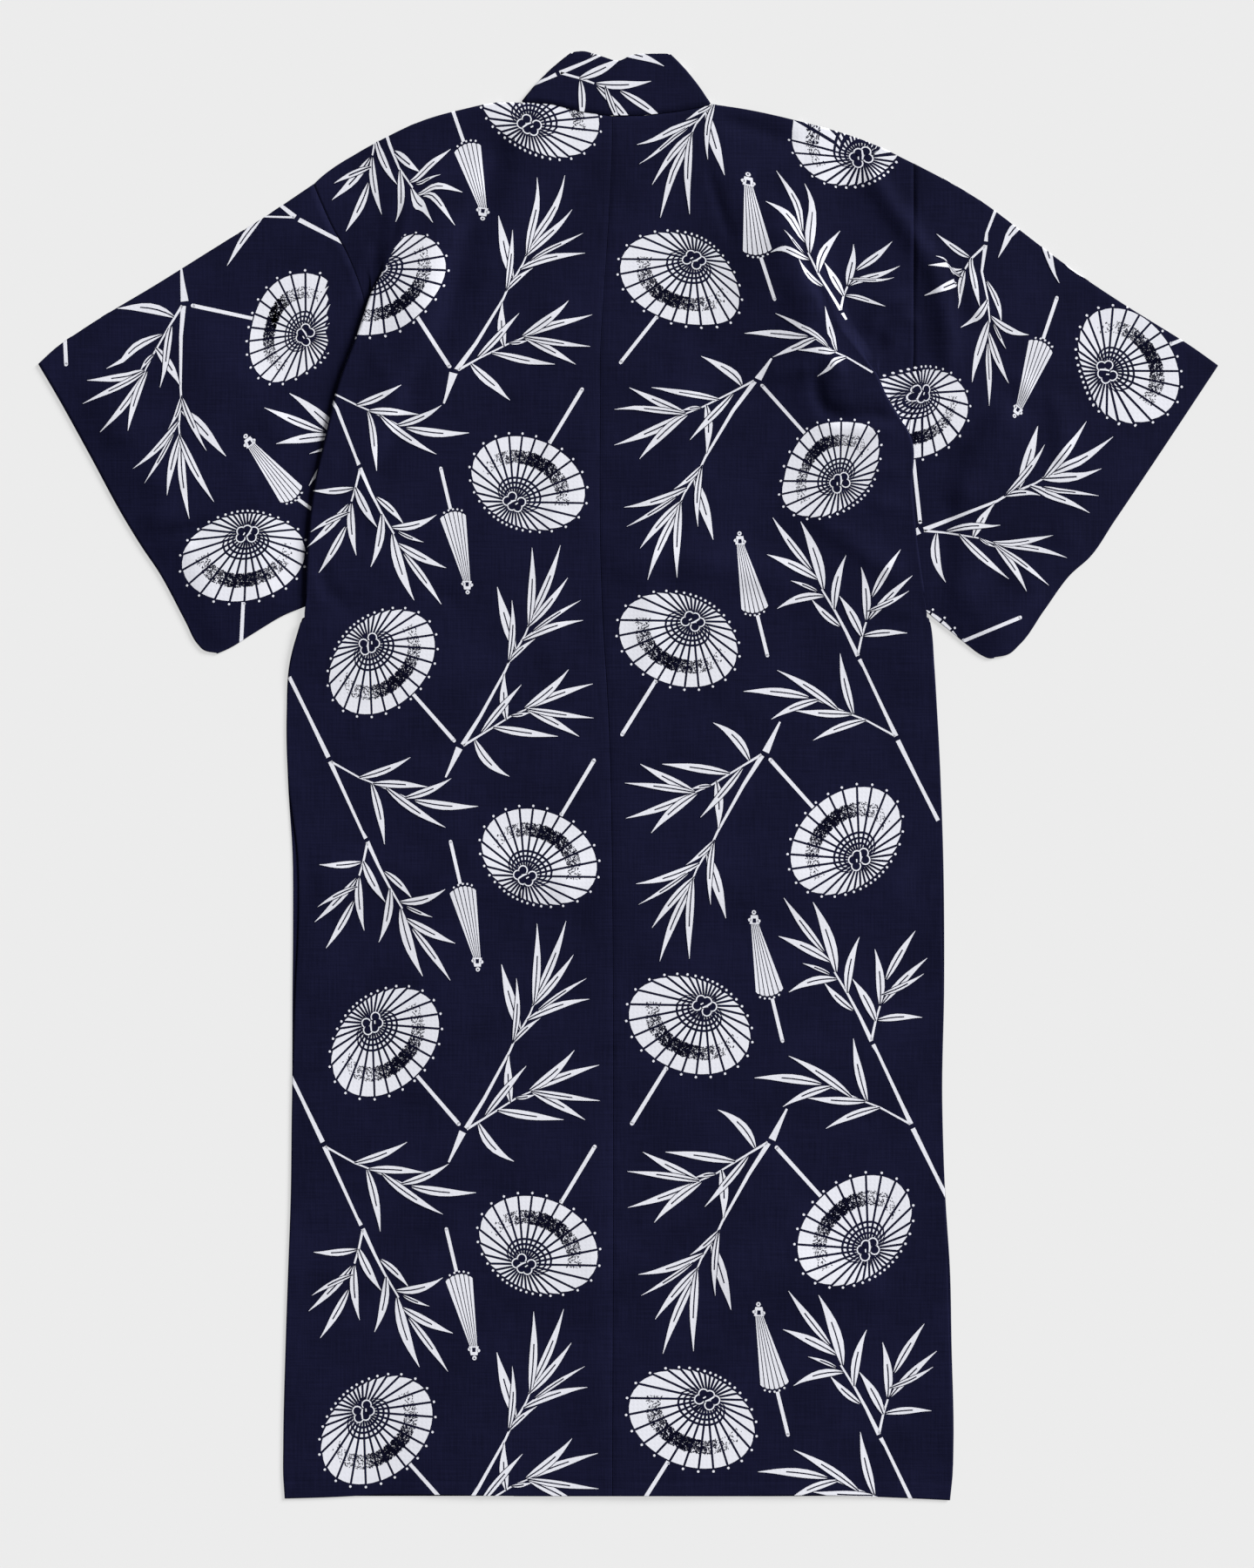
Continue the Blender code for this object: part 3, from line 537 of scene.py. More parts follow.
def half_turn(start, radius, centre):
    """Points (along, level) of a half circle that turns cloth under, from its top to its foot."""
    angle = math.pi / 2 - math.pi * np.arange(1, TURN_STEPS + 1) / TURN_STEPS
    return np.stack([start + radius * np.cos(angle), centre + radius * np.sin(angle)], axis=1)


RUN_STEPS = 8  # columns of each run of cloth under the armhole's fold
OVER_COLUMNS = TURN_STEPS + RUN_STEPS  # columns from the fold's edge to the valley under it
ARM_COLUMNS = 2 * (TURN_STEPS + RUN_STEPS)


def straight_run(start, end, level):
    """Points (along, level) of a level run, without its first."""
    along = start + (end - start) * np.arange(1, RUN_STEPS + 1) / RUN_STEPS
    return np.stack([along, np.full(RUN_STEPS, level)], axis=1)


def pleated(fold, valley):
    """How fully the cloth at an armhole is turned under: 0 lies open, 1 is a whole pleat."""
    return ease((fold - valley - TURN_FROM) / TURN_OVER)


def armhole_section(side, height):
    """Points (outward, level) from the fold's edge to the armhole's seam at one height.

    Low down the cloth turns under at the fold, runs in to the valley, turns again and runs out to
    the seam. Near the shoulder the same cloth lies open, with a dip at the valley.
    """
    at = {key: line(height) for key, line in arm[side.name].items()}
    top = BACK + at["loft"]
    seam = at["seam"] - SEAM / 2
    radius = (top - UNDER_RUN) / 2
    edge = at["fold"] - radius
    small = (UNDER_RUN - OVER) / 2
    inner = at["valley"] + small
    back_turn = half_turn(0, small, OVER + small)
    back_turn[:, 0] = inner - back_turn[:, 0]
    folded = np.concatenate([
        half_turn(edge, radius, UNDER_RUN + radius),
        straight_run(edge, inner, UNDER_RUN),
        back_turn,
        straight_run(inner, seam, OVER),
    ])
    over = np.arange(1, OVER_COLUMNS + 1) / OVER_COLUMNS
    beyond = np.arange(1, ARM_COLUMNS - OVER_COLUMNS + 1) / (ARM_COLUMNS - OVER_COLUMNS)
    flat = np.concatenate([
        np.stack([mix(edge, at["valley"], over), mix(top, OVER, ease(over))], axis=1),
        np.stack([mix(at["valley"], seam, beyond), np.full(len(beyond), OVER)], axis=1),
    ])
    return mix(flat, folded, pleated(at["fold"], at["valley"]))


def back_level(side, out, height, share):
    """Level of a back panel. It slopes to the side seam, and stands up at the armhole's fold."""
    slope = ease((out - side.slope_from) / (side.slope_to - side.slope_from))
    low = mix(BACK, OVER, slope)
    x = side.sign * out
    high = BACK + arm[side.name]["loft"](height) * ease((share - LOFT_FROM) / (1 - LOFT_FROM))
    fade = ease((share - FOLDS_TO) / (1 - FOLDS_TO))
    high = high + relief(SOFT_FOLDS, x, height) * (1 - fade)
    return mix(low, high, ease((height - HIP_FADE) / (ARMPIT - HIP_FADE)))


def front_level(side, out):
    """Level of a front panel. The right one comes down from the left front to the floor."""
    share = (out - side.front_from) / (side.front_to - side.front_from)
    return mix(side.front_level, FLOOR, ease(share))


def front_slant(side):
    """How far the front neck edge moves to the centre for each millimetre down."""
    return (side.neck[0] - side.overlap_seam) / (side.neck[1] - YOKE)


def neck_edge(side, height):
    """Outward distance of the seam between the front and the collar."""
    return side.neck[0] - front_slant(side) * (side.neck[1] - height)


class Panel:
    """The grid of one body panel: shares of its width, then the columns of its armhole."""

    def __init__(self, side):
        self.side = side
        self.neck_share = side.neck[0] / float(arm[side.name]["fold"](side.neck[1]))
        width = float(side_out[side.name](0))
        seam_side, edge_side = SEAM_COLUMNS / width, 1 - EDGE_COLUMNS / width
        inner = spaced(seam_side[-1], self.neck_share, FINE / width)
        outer = spaced(self.neck_share, edge_side[0], FINE / width)
        self.shares = np.concatenate([seam_side[:-1], inner, outer[1:], edge_side[1:]])
        self.neck = len(seam_side) - 1 + len(inner) - 1
        self.fold = len(self.shares) - 1
        self.columns = len(self.shares) + ARM_COLUMNS

    def section(self, heights):
        """The armhole's columns, each at its own height."""
        rows = [armhole_section(self.side, h)[k] for k, h in enumerate(heights)]
        return np.array(rows)

    def back(self, heights):
        """(outward, level) of every column of the back at its own height."""
        side = self.side
        at = arm[side.name]
        h, share = heights[: self.fold + 1], self.shares
        middle = side.sign * centre_x(h) + SEAM / 2
        edge = side_out[side.name](h) - side_inset[side.name](h)
        edge = np.where(h > ARMPIT, at["fold"](h) - (BACK + at["loft"](h) - UNDER_RUN) / 2, edge)
        out = mix(middle, edge, share)
        level = back_level(side, out, h, share)
        beyond = self.section(heights[self.fold + 1 :])
        return np.concatenate([out, beyond[:, 0]]), np.concatenate([level, beyond[:, 1]])

    def front(self, heights):
        """(outward, level) of every column of the front at its own height."""
        side = self.side
        at = arm[side.name]
        inner = np.maximum(neck_edge(side, heights), side.overlap_seam) + SEAM / 2
        rise = (heights - SLEEVE_FOOT) / (side.shoulder[-1].height - SLEEVE_FOOT)
        seam = at["seam"](heights) - SEAM / 2
        width = mix(ARM_FRONT, at["seam"](side.neck[1]) - at["fold"](side.neck[1]), ease(rise))
        outer = np.where(heights > ARMPIT, seam - width, side_out[side.name](heights))
        share = (self.shares - self.neck_share) / (1 - self.neck_share)
        n = self.fold + 1
        body = mix(inner[:n], outer[:n], share)
        steps = np.arange(1, ARM_COLUMNS + 1) / ARM_COLUMNS
        out = np.concatenate([body, mix(outer[n:], seam[n:], steps)])
        return out, front_level(side, out)

    def tops(self):
        """Heights of the columns' upper ends: on the neck's seam or on the shoulder's outline."""
        side = self.side
        out, _ = self.back(np.full(self.columns, side.neck[1]))
        low = neck_seam(side.sign * out) - SEAM / 2
        outline = shoulder[side.name](out) - CLOTH / 2
        top = shoulder[side.name](out)
        sunk = outline - (self.back(top)[1] - self.front(top)[1]) / 2
        at_neck = np.arange(self.columns) < self.neck
        return np.where(at_neck, low, sunk), outline

    def grid(self):
        """Rows of points from the back hem over the shoulder to the front hem, and their layer."""
        side = self.side
        top, outline = self.tops()
        low = spaced(PLAIN_FROM, PLAIN_TO, PLAIN)
        high = spaced(PLAIN_TO, SLEEVE_FOOT, FINE)[1:]
        upper = spaced(SLEEVE_FOOT, YOKE, FINE)[1:]
        rows, layers = [], []

        def lay(panel, heights, layer):
            out, level = panel(heights)
            rows.append((out, heights, level))
            layers.append(layer)

        for h in np.concatenate([HEM_ROWS, low, high, upper]):
            heights = np.full(self.columns, h)
            out, level = self.back(heights)
            if h < HEM_FADE:
                heights = h + hem_height(side.sign * out) * (1 - h / HEM_FADE)
            if h == HEM_TURN:
                level = level - HEM_DIP
            rows.append((out, heights, level))
            layers.append("low" if h < SLEEVE_FOOT else "back")
        for rise in spaced(0, 1, FINE / (side.neck[1] - YOKE))[1:]:
            lay(self.back, mix(YOKE, top, rise), "back")
        back_out, back = self.back(top)
        front_out, front = self.front(top)
        for step in range(1, TURN_STEPS):
            angle = math.pi * step / TURN_STEPS
            out = mix(back_out, front_out, step / TURN_STEPS)
            level = mix(back, front, (1 - math.cos(angle)) / 2)
            rows.append((out, mix(top, outline, math.sin(angle)), level))
            layers.append("turn")
        for rise in reversed(spaced(0, 1, FRONT_STEP / (side.neck[1] - YOKE))[1:]):
            lay(self.front, mix(YOKE, top, rise), "front")
        for start, end, layer in ((YOKE, SLEEVE_FOOT, "front"), (ARMPIT, 0, "front_low")):
            for h in spaced(start, end, FRONT_STEP):
                lay(self.front, np.full(self.columns, h), layer)
        points = np.array([np.stack(row, axis=1) for row in rows])
        back_rows = [i for i, layer in enumerate(layers) if layer in ("low", "back")]
        points[back_rows, :, 2] += self.unevenness(points[back_rows], top)
        self.close_side_seam(points, layers)
        points[:, :, 0] *= side.sign
        return points, layers

    def unevenness(self, points, top):
        """What creases, ripples and the centre seam add to the back's level."""
        at = arm[self.side.name]
        out, y = points[:, :, 0], points[:, :, 1]
        opened = 1 - pleated(at["fold"](y), at["valley"](y))
        weight = opened * ease((out - out[:, [self.fold]]) / ARM_FADE)
        weight[:, : self.fold + 1] = 1 - ease((self.shares - EDGE_FADE) / (1 - EDGE_FADE))
        weight *= ease((top - y) / TOP_FADE)
        seam = -GROOVE * np.exp(-(((out - out[:, :1]) / GROOVE_WIDTH) ** 2))
        x = self.side.sign * out
        return weight * (creased(x, y) + ripple(x, y)) + seam * ease((top - y) / TOP_FADE)

    def close_side_seam(self, points, layers):
        """Brings the back's and the front's edges together at the side seam."""
        meet = (OVER + FLOOR) / 2
        for i, layer in enumerate(layers):
            edge = points[i, self.fold]
            sewn = 1 - ease((edge[1] - HIP_FADE) / (ARMPIT - HIP_FADE))
            if layer == "low":
                edge[2] = mix(edge[2], meet + WALL / 2, sewn)
            if layer == "front_low":
                edge[2] = mix(edge[2], meet - WALL / 2, sewn)

    def present(self, layers, i, j):
        """Whether the cloth has the cell between rows i and i + 1 and columns j and j + 1."""
        pair = (layers[i], layers[i + 1])
        if j < self.neck:
            return pair[1] in ("low", "back")
        if j >= self.fold:
            return "front_low" not in pair and pair[0] != "low"
        return True


# Shares of a sleeve's length at which it has columns. The last ones are closer, for the cuff.
SLEEVE_SHARES = np.concatenate([spaced(0, 0.96, 0.022), [0.975, 0.99, 1.0]])
CUFF_FADE = 0.1  # share of the length over which creases fade out at the cuff
FOLD_FADE = 0.06  # share of the depth over which they do so at the sleeve's two folds
SLEEVE_DIP = 0.2  # how far a crease may sink the upper layer


def sleeve_grid(side):
    """The flattened tube of a sleeve: upper layer, lower fold, lower layer and upper fold."""
    top = float(shoulder[side.name](arm[side.name]["seam"](side.neck[1]) - SEAM / 2))
    top -= CLOTH / 2 + (OVER - FLOOR) / 2
    height = spaced(top, SLEEVE_FOOT, FINE)
    seam = np.stack([arm[side.name]["seam"](height) + SEAM / 2, height], axis=1)
    length = np.concatenate([[0], np.cumsum(np.hypot(*np.diff(seam, axis=0).T))])
    depth = (length / length[-1])[:, None]
    share = SLEEVE_SHARES[None, :]
    cuff_share = 1 - (1 - depth) ** CORNER_ROWS
    out = mix(seam[:, :1], cuff[side.name]["outward"](cuff_share), share)
    y = mix(seam[:, 1:], cuff[side.name]["height"](cuff_share), share)
    y = y + column(side.top_edge, "share", "sag")(share) * (1 - depth)
    y = y - column(side.foot_edge, "share", "sag")(share) * depth
    x = side.sign * out
    puff = ease((share - PUFF_FROM) / PUFF_OVER) * ease((1 - share) / PUFF_CUFF)
    puff = SLEEVE_PUFF * puff * ease(depth / PUFF_EDGE) * ease((1 - depth) / PUFF_EDGE)
    fine = (creased(x, y) + ripple(x, y)) * ease((1 - share) / CUFF_FADE)
    fine = fine * ease(depth / FOLD_FADE) * ease((1 - depth) / FOLD_FADE)
    upper = np.stack([x, y, np.maximum(OVER + puff + fine, OVER - SLEEVE_DIP)], axis=2)
    lower = np.stack([x, y, np.full(x.shape, FLOOR)], axis=2)[::-1]
    radius = (OVER - FLOOR) / 2
    angles = math.pi * np.arange(1, TURN_STEPS) / TURN_STEPS
    foot = [upper[-1] - [0, radius * math.sin(a), radius - radius * math.cos(a)] for a in angles]
    crown = [lower[-1] + [0, radius * math.sin(a), radius - radius * math.cos(a)] for a in angles]
    return np.concatenate([upper, foot, lower, crown])


COLLAR_STEP = 7.0
COLLAR_SLACK = 0.05  # how far each of the collar's layers keeps inside the solid's face


def band_front(side):
    """Rows (seam point, free point) of the collar down one front, from its foot to the neck."""
    free = BAND_WIDTH * math.hypot(1, front_slant(side))
    foot_out = neck_edge(side, side.band_foot) - SEAM / 2
    top_row = COLLAR_TOP[0] if side.sign < 0 else COLLAR_TOP[-1]
    foot = np.array([
        [side.sign * foot_out, side.band_foot],
        [side.sign * (foot_out - free), side.band_foot],
    ])
    neck = np.array([
        [side.sign * (side.neck[0] - NECK_TURN[0]), side.neck[1] + NECK_TURN[1]],
        [top_row.x, top_row.height],
    ])
    return [mix(foot, neck, share) for share in spaced(0, 1, COLLAR_STEP / (YOKE - side.band_foot))]


def band_fold(line, side):
    """Rows that turn the band over along its slanted fold, from the front up to the back."""
    radius = (BAND_TOP - side.band_level) / 2
    along = (line[1] - line[0]) / np.linalg.norm(line[1] - line[0])
    outward = np.array([side.sign * along[1], -side.sign * along[0]])
    rows = []
    for angle in math.pi * np.arange(TURN_STEPS + 1) / TURN_STEPS:
        shift = outward * (radius * math.sin(angle) - radius - BAND / 2)
        level = side.band_level + radius - radius * math.cos(angle)
        rows.append((line + shift, level, outward * BAND_BOW))
    return rows


def collar_grid():
    """The collar's cloth, folded double: outer layer, rolled free edge and inner layer."""
    straight = np.zeros(2)
    left, right = band_front(LEFT), band_front(RIGHT)
    rows = [(line, LEFT.band_level, straight) for line in left[:-1]]
    rows += band_fold(left[-1], LEFT)
    span = spaced(0, 1, COLLAR_STEP / (NECK_SEAM[-1].x - NECK_SEAM[0].x))[1:-1]
    for share in span:
        seam_x = mix(NECK_SEAM[0].x, NECK_SEAM[-1].x, share)
        top_x = mix(COLLAR_TOP[0].x, COLLAR_TOP[-1].x, share)
        line = np.array([[seam_x, neck_seam(seam_x) + SEAM / 2], [top_x, collar_top(top_x)]])
        rows.append((line, BAND_TOP, straight))
    rows += band_fold(right[-1], RIGHT)[::-1]
    rows += [(line, RIGHT.band_level, straight) for line in right[:-1][::-1]]
    shares = spaced(0, 1, COLLAR_STEP / BAND_WIDTH)
    middle = np.array([
        [[*(mix(line[0], line[1], s) + bow * 4 * s * (1 - s)), level] for s in shares]
        for line, level, bow in rows
    ])
    along = np.gradient(middle, axis=0)
    across = np.gradient(middle, axis=1)
    across /= np.linalg.norm(across, axis=2, keepdims=True)
    normal = np.cross(across, along)
    normal /= np.linalg.norm(normal, axis=2, keepdims=True)
    if normal[len(rows) // 2, 0, 2] < 0:
        normal = -normal
    half = (BAND - BAND_WALL) / 2 - COLLAR_SLACK
    tip = middle[:, -1] - across[:, -1] * half
    angles = math.pi * np.arange(1, TURN_STEPS) / TURN_STEPS
    roll = [
        tip + half * (normal[:, -1] * math.cos(a) + across[:, -1] * math.sin(a)) for a in angles
    ]
    outer = (middle + normal * half)[:, :-1]
    inner = (middle - normal * half)[:, :-1][:, ::-1]
    ends = np.stack([tip + normal[:, -1] * half, *roll, tip - normal[:, -1] * half], axis=1)
    return np.concatenate([outer, ends, inner], axis=1)


OVERLAP_STEP = 16.0


def overlap_grid(side):
    """The narrow panel that widens the front, cut away under the collar, and its cell test."""
    inner = side.overlap_seam - SEAM / 2
    foot = side.band_foot - SEAM
    corner = neck_edge(side, side.band_foot)
    lower = spaced(0, foot, OVERLAP_STEP)
    upper = spaced(foot, YOKE - OVERLAP_TIP, OVERLAP_STEP)[1:]
    inner_shares = spaced(0, 1, OVERLAP_STEP / (inner - corner))
    outer_shares = spaced(0, 1, OVERLAP_STEP / (corner - side.overlap_edge))[1:]
    rows = []
    for height in np.concatenate([lower, upper]):
        edge = neck_edge(side, height) + SEAM / 2 if height > foot else corner
        out = np.concatenate([
            mix(inner, edge, inner_shares),
            mix(edge, side.overlap_edge, outer_shares),
        ])
        flat = np.full(len(out), side.front_level)
        rows.append(np.stack([side.sign * out, np.full(len(out), height), flat], axis=1))

    def present(i, j):
        return i < len(lower) - 1 or j < len(inner_shares) - 1

    return np.array(rows), present


class Skin:
    """A cloth's middle surface as cells, thickened into a closed wall with rounded rims."""

    def __init__(self, grid, wall, present=None, ring=False, flip=False):
        rows, columns = grid.shape[:2]
        number = -np.ones((rows, columns), int)
        points, cells = [], []

        def vertex(i, j):
            if number[i, j] < 0:
                number[i, j] = len(points)
                points.append(grid[i, j])
            return number[i, j]

        for i in range(rows if ring else rows - 1):
            for j in range(columns - 1):
                if present is None or present(i, j):
                    below = (i + 1) % rows
                    cell = [vertex(i, j), vertex(i, j + 1), vertex(below, j + 1), vertex(below, j)]
                    cells.append(cell[::-1] if flip else cell)
        self.middle = np.array(points)
        self.cells = np.array(cells)
        self.wall = wall
        self.normals = self.vertex_normals()
        self.outer = self.middle + self.normals * wall / 2
        inner = self.middle - self.normals * wall / 2
        rim, rim_faces = self.rim()
        n = len(points)
        self.points = np.concatenate([self.outer, inner, rim])
        self.faces = cells + [[v + n for v in cell[::-1]] for cell in cells] + rim_faces

    def vertex_normals(self):
        """Each point's normal, from the cells round it by their area."""
        a, b, c, d = (self.middle[self.cells[:, k]] for k in range(4))
        faces = np.cross(c - a, d - b)
        normals = np.zeros(self.middle.shape)
        for k in range(4):
            np.add.at(normals, self.cells[:, k], faces)
        return normals / np.maximum(np.linalg.norm(normals, axis=1, keepdims=True), 1e-9)

    def rim(self):
        """Points just outside each open edge, and the two strips of faces that close it."""
        edges = {}
        for cell in self.cells.tolist():
            for a, b in zip(cell, cell[1:] + cell[:1]):
                if (b, a) in edges:
                    del edges[b, a]
                else:
                    edges[a, b] = True
        n = len(self.middle)
        outward, place = {}, {}
        for a, b in edges:
            way = np.cross(self.middle[b] - self.middle[a], self.normals[a] + self.normals[b])
            for v in (a, b):
                outward[v] = outward.get(v, 0) + way
        rim = []
        for v, way in outward.items():
            place[v] = 2 * n + len(rim)
            way = way / max(np.linalg.norm(way), 1e-9)
            rim.append(self.middle[v] + way * self.wall * RIM)
        faces = []
        for a, b in edges:
            faces.append([b, a, place[a], place[b]])
            faces.append([place[b], place[a], a + n, b + n])
        return np.array(rim), faces


def linked(name, data):
    """A new object in the scene."""
    obj = bpy.data.objects.new(name, data)
    bpy.context.scene.collection.objects.link(obj)
    return obj


def new_object(name, points, faces, material):
    """A smooth mesh object that rides on the part's one body."""
    mesh = bpy.data.meshes.new(name)
    mesh.from_pydata((np.asarray(points) + SHIFT) * MM, [], faces)
    mesh.shade_smooth()
    mesh.materials.append(material)
    obj = linked(name, mesh)
    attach(obj, "root")
    return obj


# The print. Its chart is drawn for one repeat, in units of its own, with x from the cloth's left
# edge and y down from the top of the repeat.
CHART = 0.89  # millimetres in one unit of the chart
REPEAT = 398.0  # length of one repeat in millimetres

Leaf = namedtuple("Leaf", "base_x base_y tip_x tip_y width bend")
Cane = namedtuple("Cane", "x0 y0 x1 y1 w0 w1")
Dome = namedtuple("Dome", "long short tilt hub_x hub_y end_x end_y phase band_from band_to dense")

LEAF_ALONG = np.array([0, 0.06, 0.16, 0.3, 0.45, 0.6, 0.74, 0.87, 1.0])
LEAF_WIDTH = np.array([0.14, 0.38, 0.65, 0.85, 0.87, 0.73, 0.49, 0.25, 0.04])
HALO = 0.9  # navy edge that parts a leaf from the one it lies on
VEIN = 0.75  # half the width of the navy line down a leaf
VEIN_ROWS = slice(0, 6)  # the rows of the leaf that the line runs through, from its base
LEAF_LEVELS = 4  # leaves lie at so many levels by turns

LOW_BAMBOO = (125, 386)
LOW_CANES = [
    Cane(203, 272, 197, 284, 2.2, 4.0),
    Cane(197, 284, 186, 307, 4.0, 8.4),
    Cane(182, 311, 160, 345, 5.4, 4.0),
    Cane(160, 345, 129, 400, 4.0, 2.6),
    Cane(129, 400, 124, 411, 2.6, 2.4),
    Cane(124, 411, 105, 442, 2.4, 2.0),
    Cane(105, 442, 100, 454, 2.0, 1.6),
    Cane(181, 310, 159, 323, 3.0, 2.2),
    Cane(159, 323, 121, 346, 2.2, 1.8),
    Cane(121, 346, 102, 354, 1.8, 1.5),
]
LOW_LEAVES = [
    Leaf(167, 317, 124, 273, 12.5, 6.5),
    Leaf(144, 332, 64, 321, 11, 1),
    Leaf(102, 353, 38, 321, 10.5, -1),
    Leaf(103, 354, 20, 343, 8.5, 1),
    Leaf(122, 346, 98, 350, 5, 1),
    Leaf(104, 355, 21, 384, 10, -2),
    Leaf(105, 355, 51, 401, 11, 3.5),
    Leaf(159, 325, 109, 383, 9, -1),
    Leaf(128, 341, 130, 396, 11.5, -2),
    Leaf(126, 409, 92, 438, 6.5, -2),
    Leaf(108, 436, 33, 460, 10, -4),
    Leaf(96, 446, 36, 484, 6, -1.5),
    Leaf(102, 452, 52, 511, 10, 2),
    Leaf(98, 462, 61, 550, 10.5, 3),
    Leaf(100, 454, 96, 547, 10.5, 2),
    Leaf(125, 411, 121, 484, 8, 3),
    Leaf(117, 425, 139, 500, 14, -1),
]

HIGH_BAMBOO = (281, 217)
HIGH_CANES = [
    Cane(400, 390, 376, 343, 4.6, 4.0),
    Cane(376, 343, 352, 295, 4.0, 5.4),
    Cane(350, 290, 339, 267, 5.4, 4.0),
    Cane(339, 267, 311, 208, 4.0, 3.2),
    Cane(311, 208, 306, 199, 3.2, 4.6),
    Cane(304, 195, 290, 166, 4.8, 3.4),
    Cane(290, 166, 277, 142, 3.4, 2.6),
    Cane(277, 142, 261, 116, 2.6, 2.0),
    Cane(349, 290, 314, 271, 2.4, 2.0),
    Cane(314, 271, 298, 265, 2.0, 1.8),
    Cane(298, 265, 255, 247, 1.8, 1.5),
    Cane(304, 194, 309, 171, 3.0, 2.4),
    Cane(309, 171, 314, 155, 2.4, 2.0),
]
HIGH_LEAVES = [
    Leaf(314, 271, 251, 295, 9.5, 3),
    Leaf(299, 264, 283, 192, 11, -2),
    Leaf(297, 264, 230, 260, 10, -1),
    Leaf(281, 259, 208, 212, 10.5, 3),
    Leaf(258, 247, 201, 270, 9.5, 3),
    Leaf(246, 244, 168, 237, 11.5, 3),
    Leaf(311, 171, 363, 168, 9, -2),
    Leaf(309, 172, 282, 124, 11.5, 2),
    Leaf(314, 153, 308, 90, 11, 3),
    Leaf(321, 125, 355, 69, 10, -1.5),
    Leaf(317, 152, 369, 100, 9.5, -2),
    Leaf(316, 142, 365, 118, 6.5, 2),
    Leaf(276, 140, 290, 76, 11, -4),
    Leaf(283, 160, 249, 128, 9, -2),
    Leaf(264, 124, 208, 139, 10.5, 5),
    Leaf(257, 119, 224, 106, 5, 1),
    Leaf(263, 116, 236, 36, 14.5, 4),
    Leaf(249, 93, 202, 31, 10, -1),
    Leaf(256, 104, 196, 75, 11.5, 2),
]

DOME_A = (93, 177)
DOME_B = (280, 410)
DOMES = {
    "dome_a": Dome(73, 53, 22, 17.5, -22.5, -67, 113, 1, 43, 184, 126),
    "dome_b": Dome(73, 53, -41, 16, 21.5, -89, -94, 4, 155, 309, 232),
}
RIBS = 30
RIB = 1.3  # half the width of the navy line that a rib makes
KNOT = 11.0  # radius of the plain round that the knot sits in
RINGS = (0.22, 0.295, 0.37)  # the thread rings, as shares of the way from hub to rim
RING = 1.4  # half the width of a ring's line
RING_REACH = 46  # rings aren't drawn where the rim is nearer to the hub than this
RIM_DOT = 1.5
RIM_DOT_OUT = 3.7
BAND_NEAR, BAND_FAR = 0.595, 0.79
SPECKS = 1500
SPECK_SPREAD = 0.46  # how far the specks spread along the band, as a share of half its length
SPECK_GROWTH = 0.45  # how much larger they are in its middle
SPECK_CORE = 0.3  # how far that middle reaches, as a share of half its length
SPECK_LONG, SPECK_SHORT = (0.8, 1.7), (0.4, 0.7)  # ranges of a speck's half length and half width
HANDLE = 4.6
HANDLE_OUT = 1.5  # distance from the rim to where the handle starts
HANDLE_TAPER = 0.9  # its width there, as a share of its width at the end
ON_RIBS, SPECKLE, HOLLOW, CORD = 1, 2, 3, 4  # levels of print above an umbrella's ribs

# The knot at an open umbrella's hub, measured from the hub at one tilt of the umbrella
LOBE_TILT = 22
LOBES = [(-8.8, 0.0), (-4.2, -6.4), (2.9, -4.6), (8.8, 1.2), (2.6, 6.6)]
LOBE, LOBE_EDGE = 4.6, 6.1  # radius of a lobe's navy round, and of the white one under it
EYE = (-1.5, 0.5, 3.22)  # x, y and radius of the navy round in the knot's middle
CORDS = [
    Cane(8.2, -3.2, 2.6, 0.6, 1.6, 2.2),
    Cane(2.6, 0.6, -2.4, 2.4, 2.2, 1.4),
    Cane(-4.6, -1.2, -1.4, -3.0, 1.4, 1.4),
]

# The folded umbrella. A gap is what is left free at either side of a gore, as a share of the
# canopy's width, and a round is its x, y and radius.
FOLDED = (187, 121)
GORES = 6
GORE_POINT = 0.9  # how far a gore's foot hangs down in its middle
CanopyEnd = namedtuple("CanopyEnd", "left right drop gap")
CANOPY_TOP = CanopyEnd((164.9, 59.0), (174.0, 59.0), 0.0, 0.38 / 9.1)
CANOPY_FOOT = CanopyEnd((170.4, 138.0), (203.4, 134.0), 6.5, 0.55 / 33.0)
BEAD, BEAD_DROP = 1.3, 3.4  # radius of the dots below the canopy, and how far below it they are
TIE = [(163.6, 59.8), (175.2, 59.8), (173.0, 49.6), (165.0, 49.6)]
TIE_GAP = [(167.0, 58.4), (171.4, 58.4), (171.0, 53.4), (167.4, 53.4)]
TIE_ENDS = [(163.8, 55.0, 2.1), (174.4, 56.5, 2.1)]
FINIAL, FINIAL_HOLE = (168.6, 46.4, 2.6), (168.6, 46.2, 1.0)
SHAFT = Cane(190.0, 146.0, 202.0, 195.0, 4.0, 4.2)

WHITE = "white"
NAVY = "navy"


class Stamp:
    """One motif: flat convex parts in chart units round its own middle."""

    def __init__(self, middle):
        self.middle = np.array(middle, float)
        self.parts = []

    def add(self, points, colour=WHITE, lift=0):
        self.parts.append((np.asarray(points, float), colour, lift))

    def finish(self):
        self.parts = [(points - self.middle, colour, lift) for points, colour, lift in self.parts]
        return self


def round_dot(x, y, radius, sides=8):
    """Corners of a round, drawn with a few straight sides."""
    angles = 2 * math.pi * np.arange(sides) / sides
    return np.stack([x + radius * np.cos(angles), y + radius * np.sin(angles)], axis=1)


